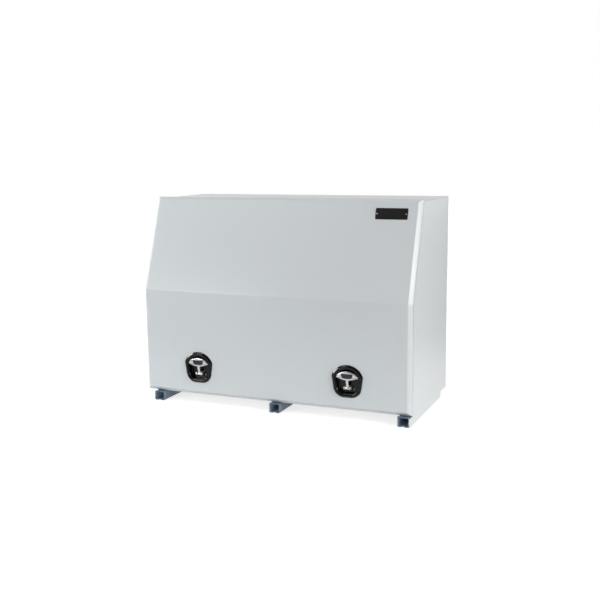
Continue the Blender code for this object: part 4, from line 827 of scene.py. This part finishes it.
def make_world():
    """A studio that is plain white to the camera and to gloss behind the object,
    and dimmer towards the front."""
    world = bpy.data.worlds.new("studio")
    bpy.context.scene.world = world
    world.use_nodes = True
    tree = world.node_tree

    def link(source, target):
        tree.links.new(source, target)

    def ramp(socket, low, high, start, end):
        node = tree.nodes.new("ShaderNodeMapRange")
        socket_set(node, From_Min=start, From_Max=end, To_Min=low, To_Max=high)
        link(socket, node.inputs["Value"])
        return node.outputs["Result"]

    def join(first, second, operation):
        node = tree.nodes.new("ShaderNodeMath")
        node.operation = operation
        link(first, node.inputs[0])
        link(second, node.inputs[1])
        return node.outputs["Value"]

    place = tree.nodes.new("ShaderNodeTexCoord")
    split = tree.nodes.new("ShaderNodeSeparateXYZ")
    link(place.outputs["Generated"], split.inputs[0])
    level = ramp(split.outputs["Y"], WORLD_BASE, WORLD_BASE + WORLD_BACK, 0.0, 1.0)
    room = tree.nodes["Background"]
    room.inputs["Color"].default_value = (*WORLD_COLOUR, 1.0)
    link(level, room.inputs["Strength"])

    paths = tree.nodes.new("ShaderNodeLightPath")
    mirror = join(paths.outputs["Is Glossy Ray"], paths.outputs["Is Transmission Ray"], "MAXIMUM")
    behind = ramp(split.outputs["Y"], 0.0, 1.0, BACKDROP_START, BACKDROP_END)
    shown = join(join(mirror, behind, "MULTIPLY"), paths.outputs["Is Camera Ray"], "MAXIMUM")
    white = tree.nodes.new("ShaderNodeBackground")
    socket_set(white, Color=(1.0, 1.0, 1.0, 1.0), Strength=1.0)
    mix = tree.nodes.new("ShaderNodeMixShader")
    link(shown, mix.inputs["Fac"])
    link(room.outputs[0], mix.inputs[1])
    link(white.outputs[0], mix.inputs[2])
    link(mix.outputs[0], tree.nodes["World Output"].inputs["Surface"])


def make_floor():
    """A pale sheet on a studio floor: white to the camera with the object's shadow,
    light grey near the object to gloss, and plain paper to the light that it sends back."""
    mesh = bpy.data.meshes.new("floor")
    corners = [(x, y, -FLOOR_DROP) for x, y in ((-1, -1), (1, -1), (1, 1), (-1, 1))]
    corners = [(FLOOR_HALF * x, FLOOR_HALF * y, z) for x, y, z in corners]
    mesh.from_pydata(corners, [], [(0, 1, 2, 3)])
    floor = bpy.data.objects.new("floor", mesh)
    bpy.context.scene.collection.objects.link(floor)
    shade = Shade("floor_pale", SHEET_COLOUR, SHEET_ROUGHNESS)
    tree = shade.material.node_tree
    reach = tree.nodes.new("ShaderNodeVectorMath")
    reach.operation = "LENGTH"
    shade.link(shade.place.outputs["Object"], reach.inputs[0])
    edge = shade.spread(reach.outputs["Value"], 0.0, 1.0, SHEET_REACH, SHEET_REACH + SHEET_FADE)
    shade.colour(shade.blend(edge, SHEET_COLOUR, STUDIO_COLOUR))

    def glow(near, far, start, fade):
        node = tree.nodes.new("ShaderNodeEmission")
        strength = shade.spread(reach.outputs["Value"], near, far, start, start + fade)
        shade.link(strength, node.inputs["Strength"])
        return node.outputs[0]

    def choose(flag, others, chosen):
        node = tree.nodes.new("ShaderNodeMixShader")
        shade.link(flag, node.inputs["Fac"])
        shade.link(others, node.inputs[1])
        shade.link(chosen, node.inputs[2])
        return node.outputs[0]

    matt = tree.nodes.new("ShaderNodeBsdfDiffuse")
    matt.inputs["Color"].default_value = (FLOOR_MATT,) * 3 + (1.0,)
    lifted = tree.nodes.new("ShaderNodeAddShader")
    shade.link(glow(FLOOR_GLOW, 1.0, SHEET_REACH, SHEET_FADE), lifted.inputs[0])
    shade.link(matt.outputs[0], lifted.inputs[1])
    paths = tree.nodes.new("ShaderNodeLightPath")
    mirror = tree.nodes.new("ShaderNodeMath")
    mirror.operation = "MAXIMUM"
    shade.link(paths.outputs["Is Glossy Ray"], mirror.inputs[0])
    shade.link(paths.outputs["Is Transmission Ray"], mirror.inputs[1])
    mirrored = glow(SHEET_GLOSS, STUDIO_GLOSS, GLOSS_REACH, GLOSS_FADE)
    seen = choose(mirror.outputs[0], shade.surface.outputs[0], mirrored)
    seen = choose(paths.outputs["Is Camera Ray"], seen, lifted.outputs[0])
    shade.link(seen, tree.nodes["Material Output"].inputs["Surface"])
    mesh.materials.append(shade.material)


def soft_box(name, place, aim, width, height, power, colour):
    """A rectangular lamp at a place, turned towards its aim."""
    data = bpy.data.lights.new(name, "AREA")
    data.shape = "RECTANGLE"
    data.size, data.size_y = width, height
    data.energy = power
    data.color = colour
    lamp = bpy.data.objects.new(name, data)
    lamp.location = place
    direction = Vector(aim) - Vector(place)
    lamp.rotation_mode = "QUATERNION"
    lamp.rotation_quaternion = direction.to_track_quat("-Z", "Y")
    bpy.context.scene.collection.objects.link(lamp)


make_camera()
make_world()
make_floor()
for lamp_settings in LAMPS:
    soft_box(*lamp_settings)
for node_name, node_object in NODES.items():
    dress_node(node_name, node_object)
add_lock("left", -LOCK_X, 1)
add_lock("right", LOCK_X, -1)
add_strut("left", -1)
add_strut("right", 1)
for foot_name in ("left", "centre", "right"):
    add_foot(foot_name)

scene_settings = bpy.context.scene
scene_settings.view_settings.view_transform = "Standard"
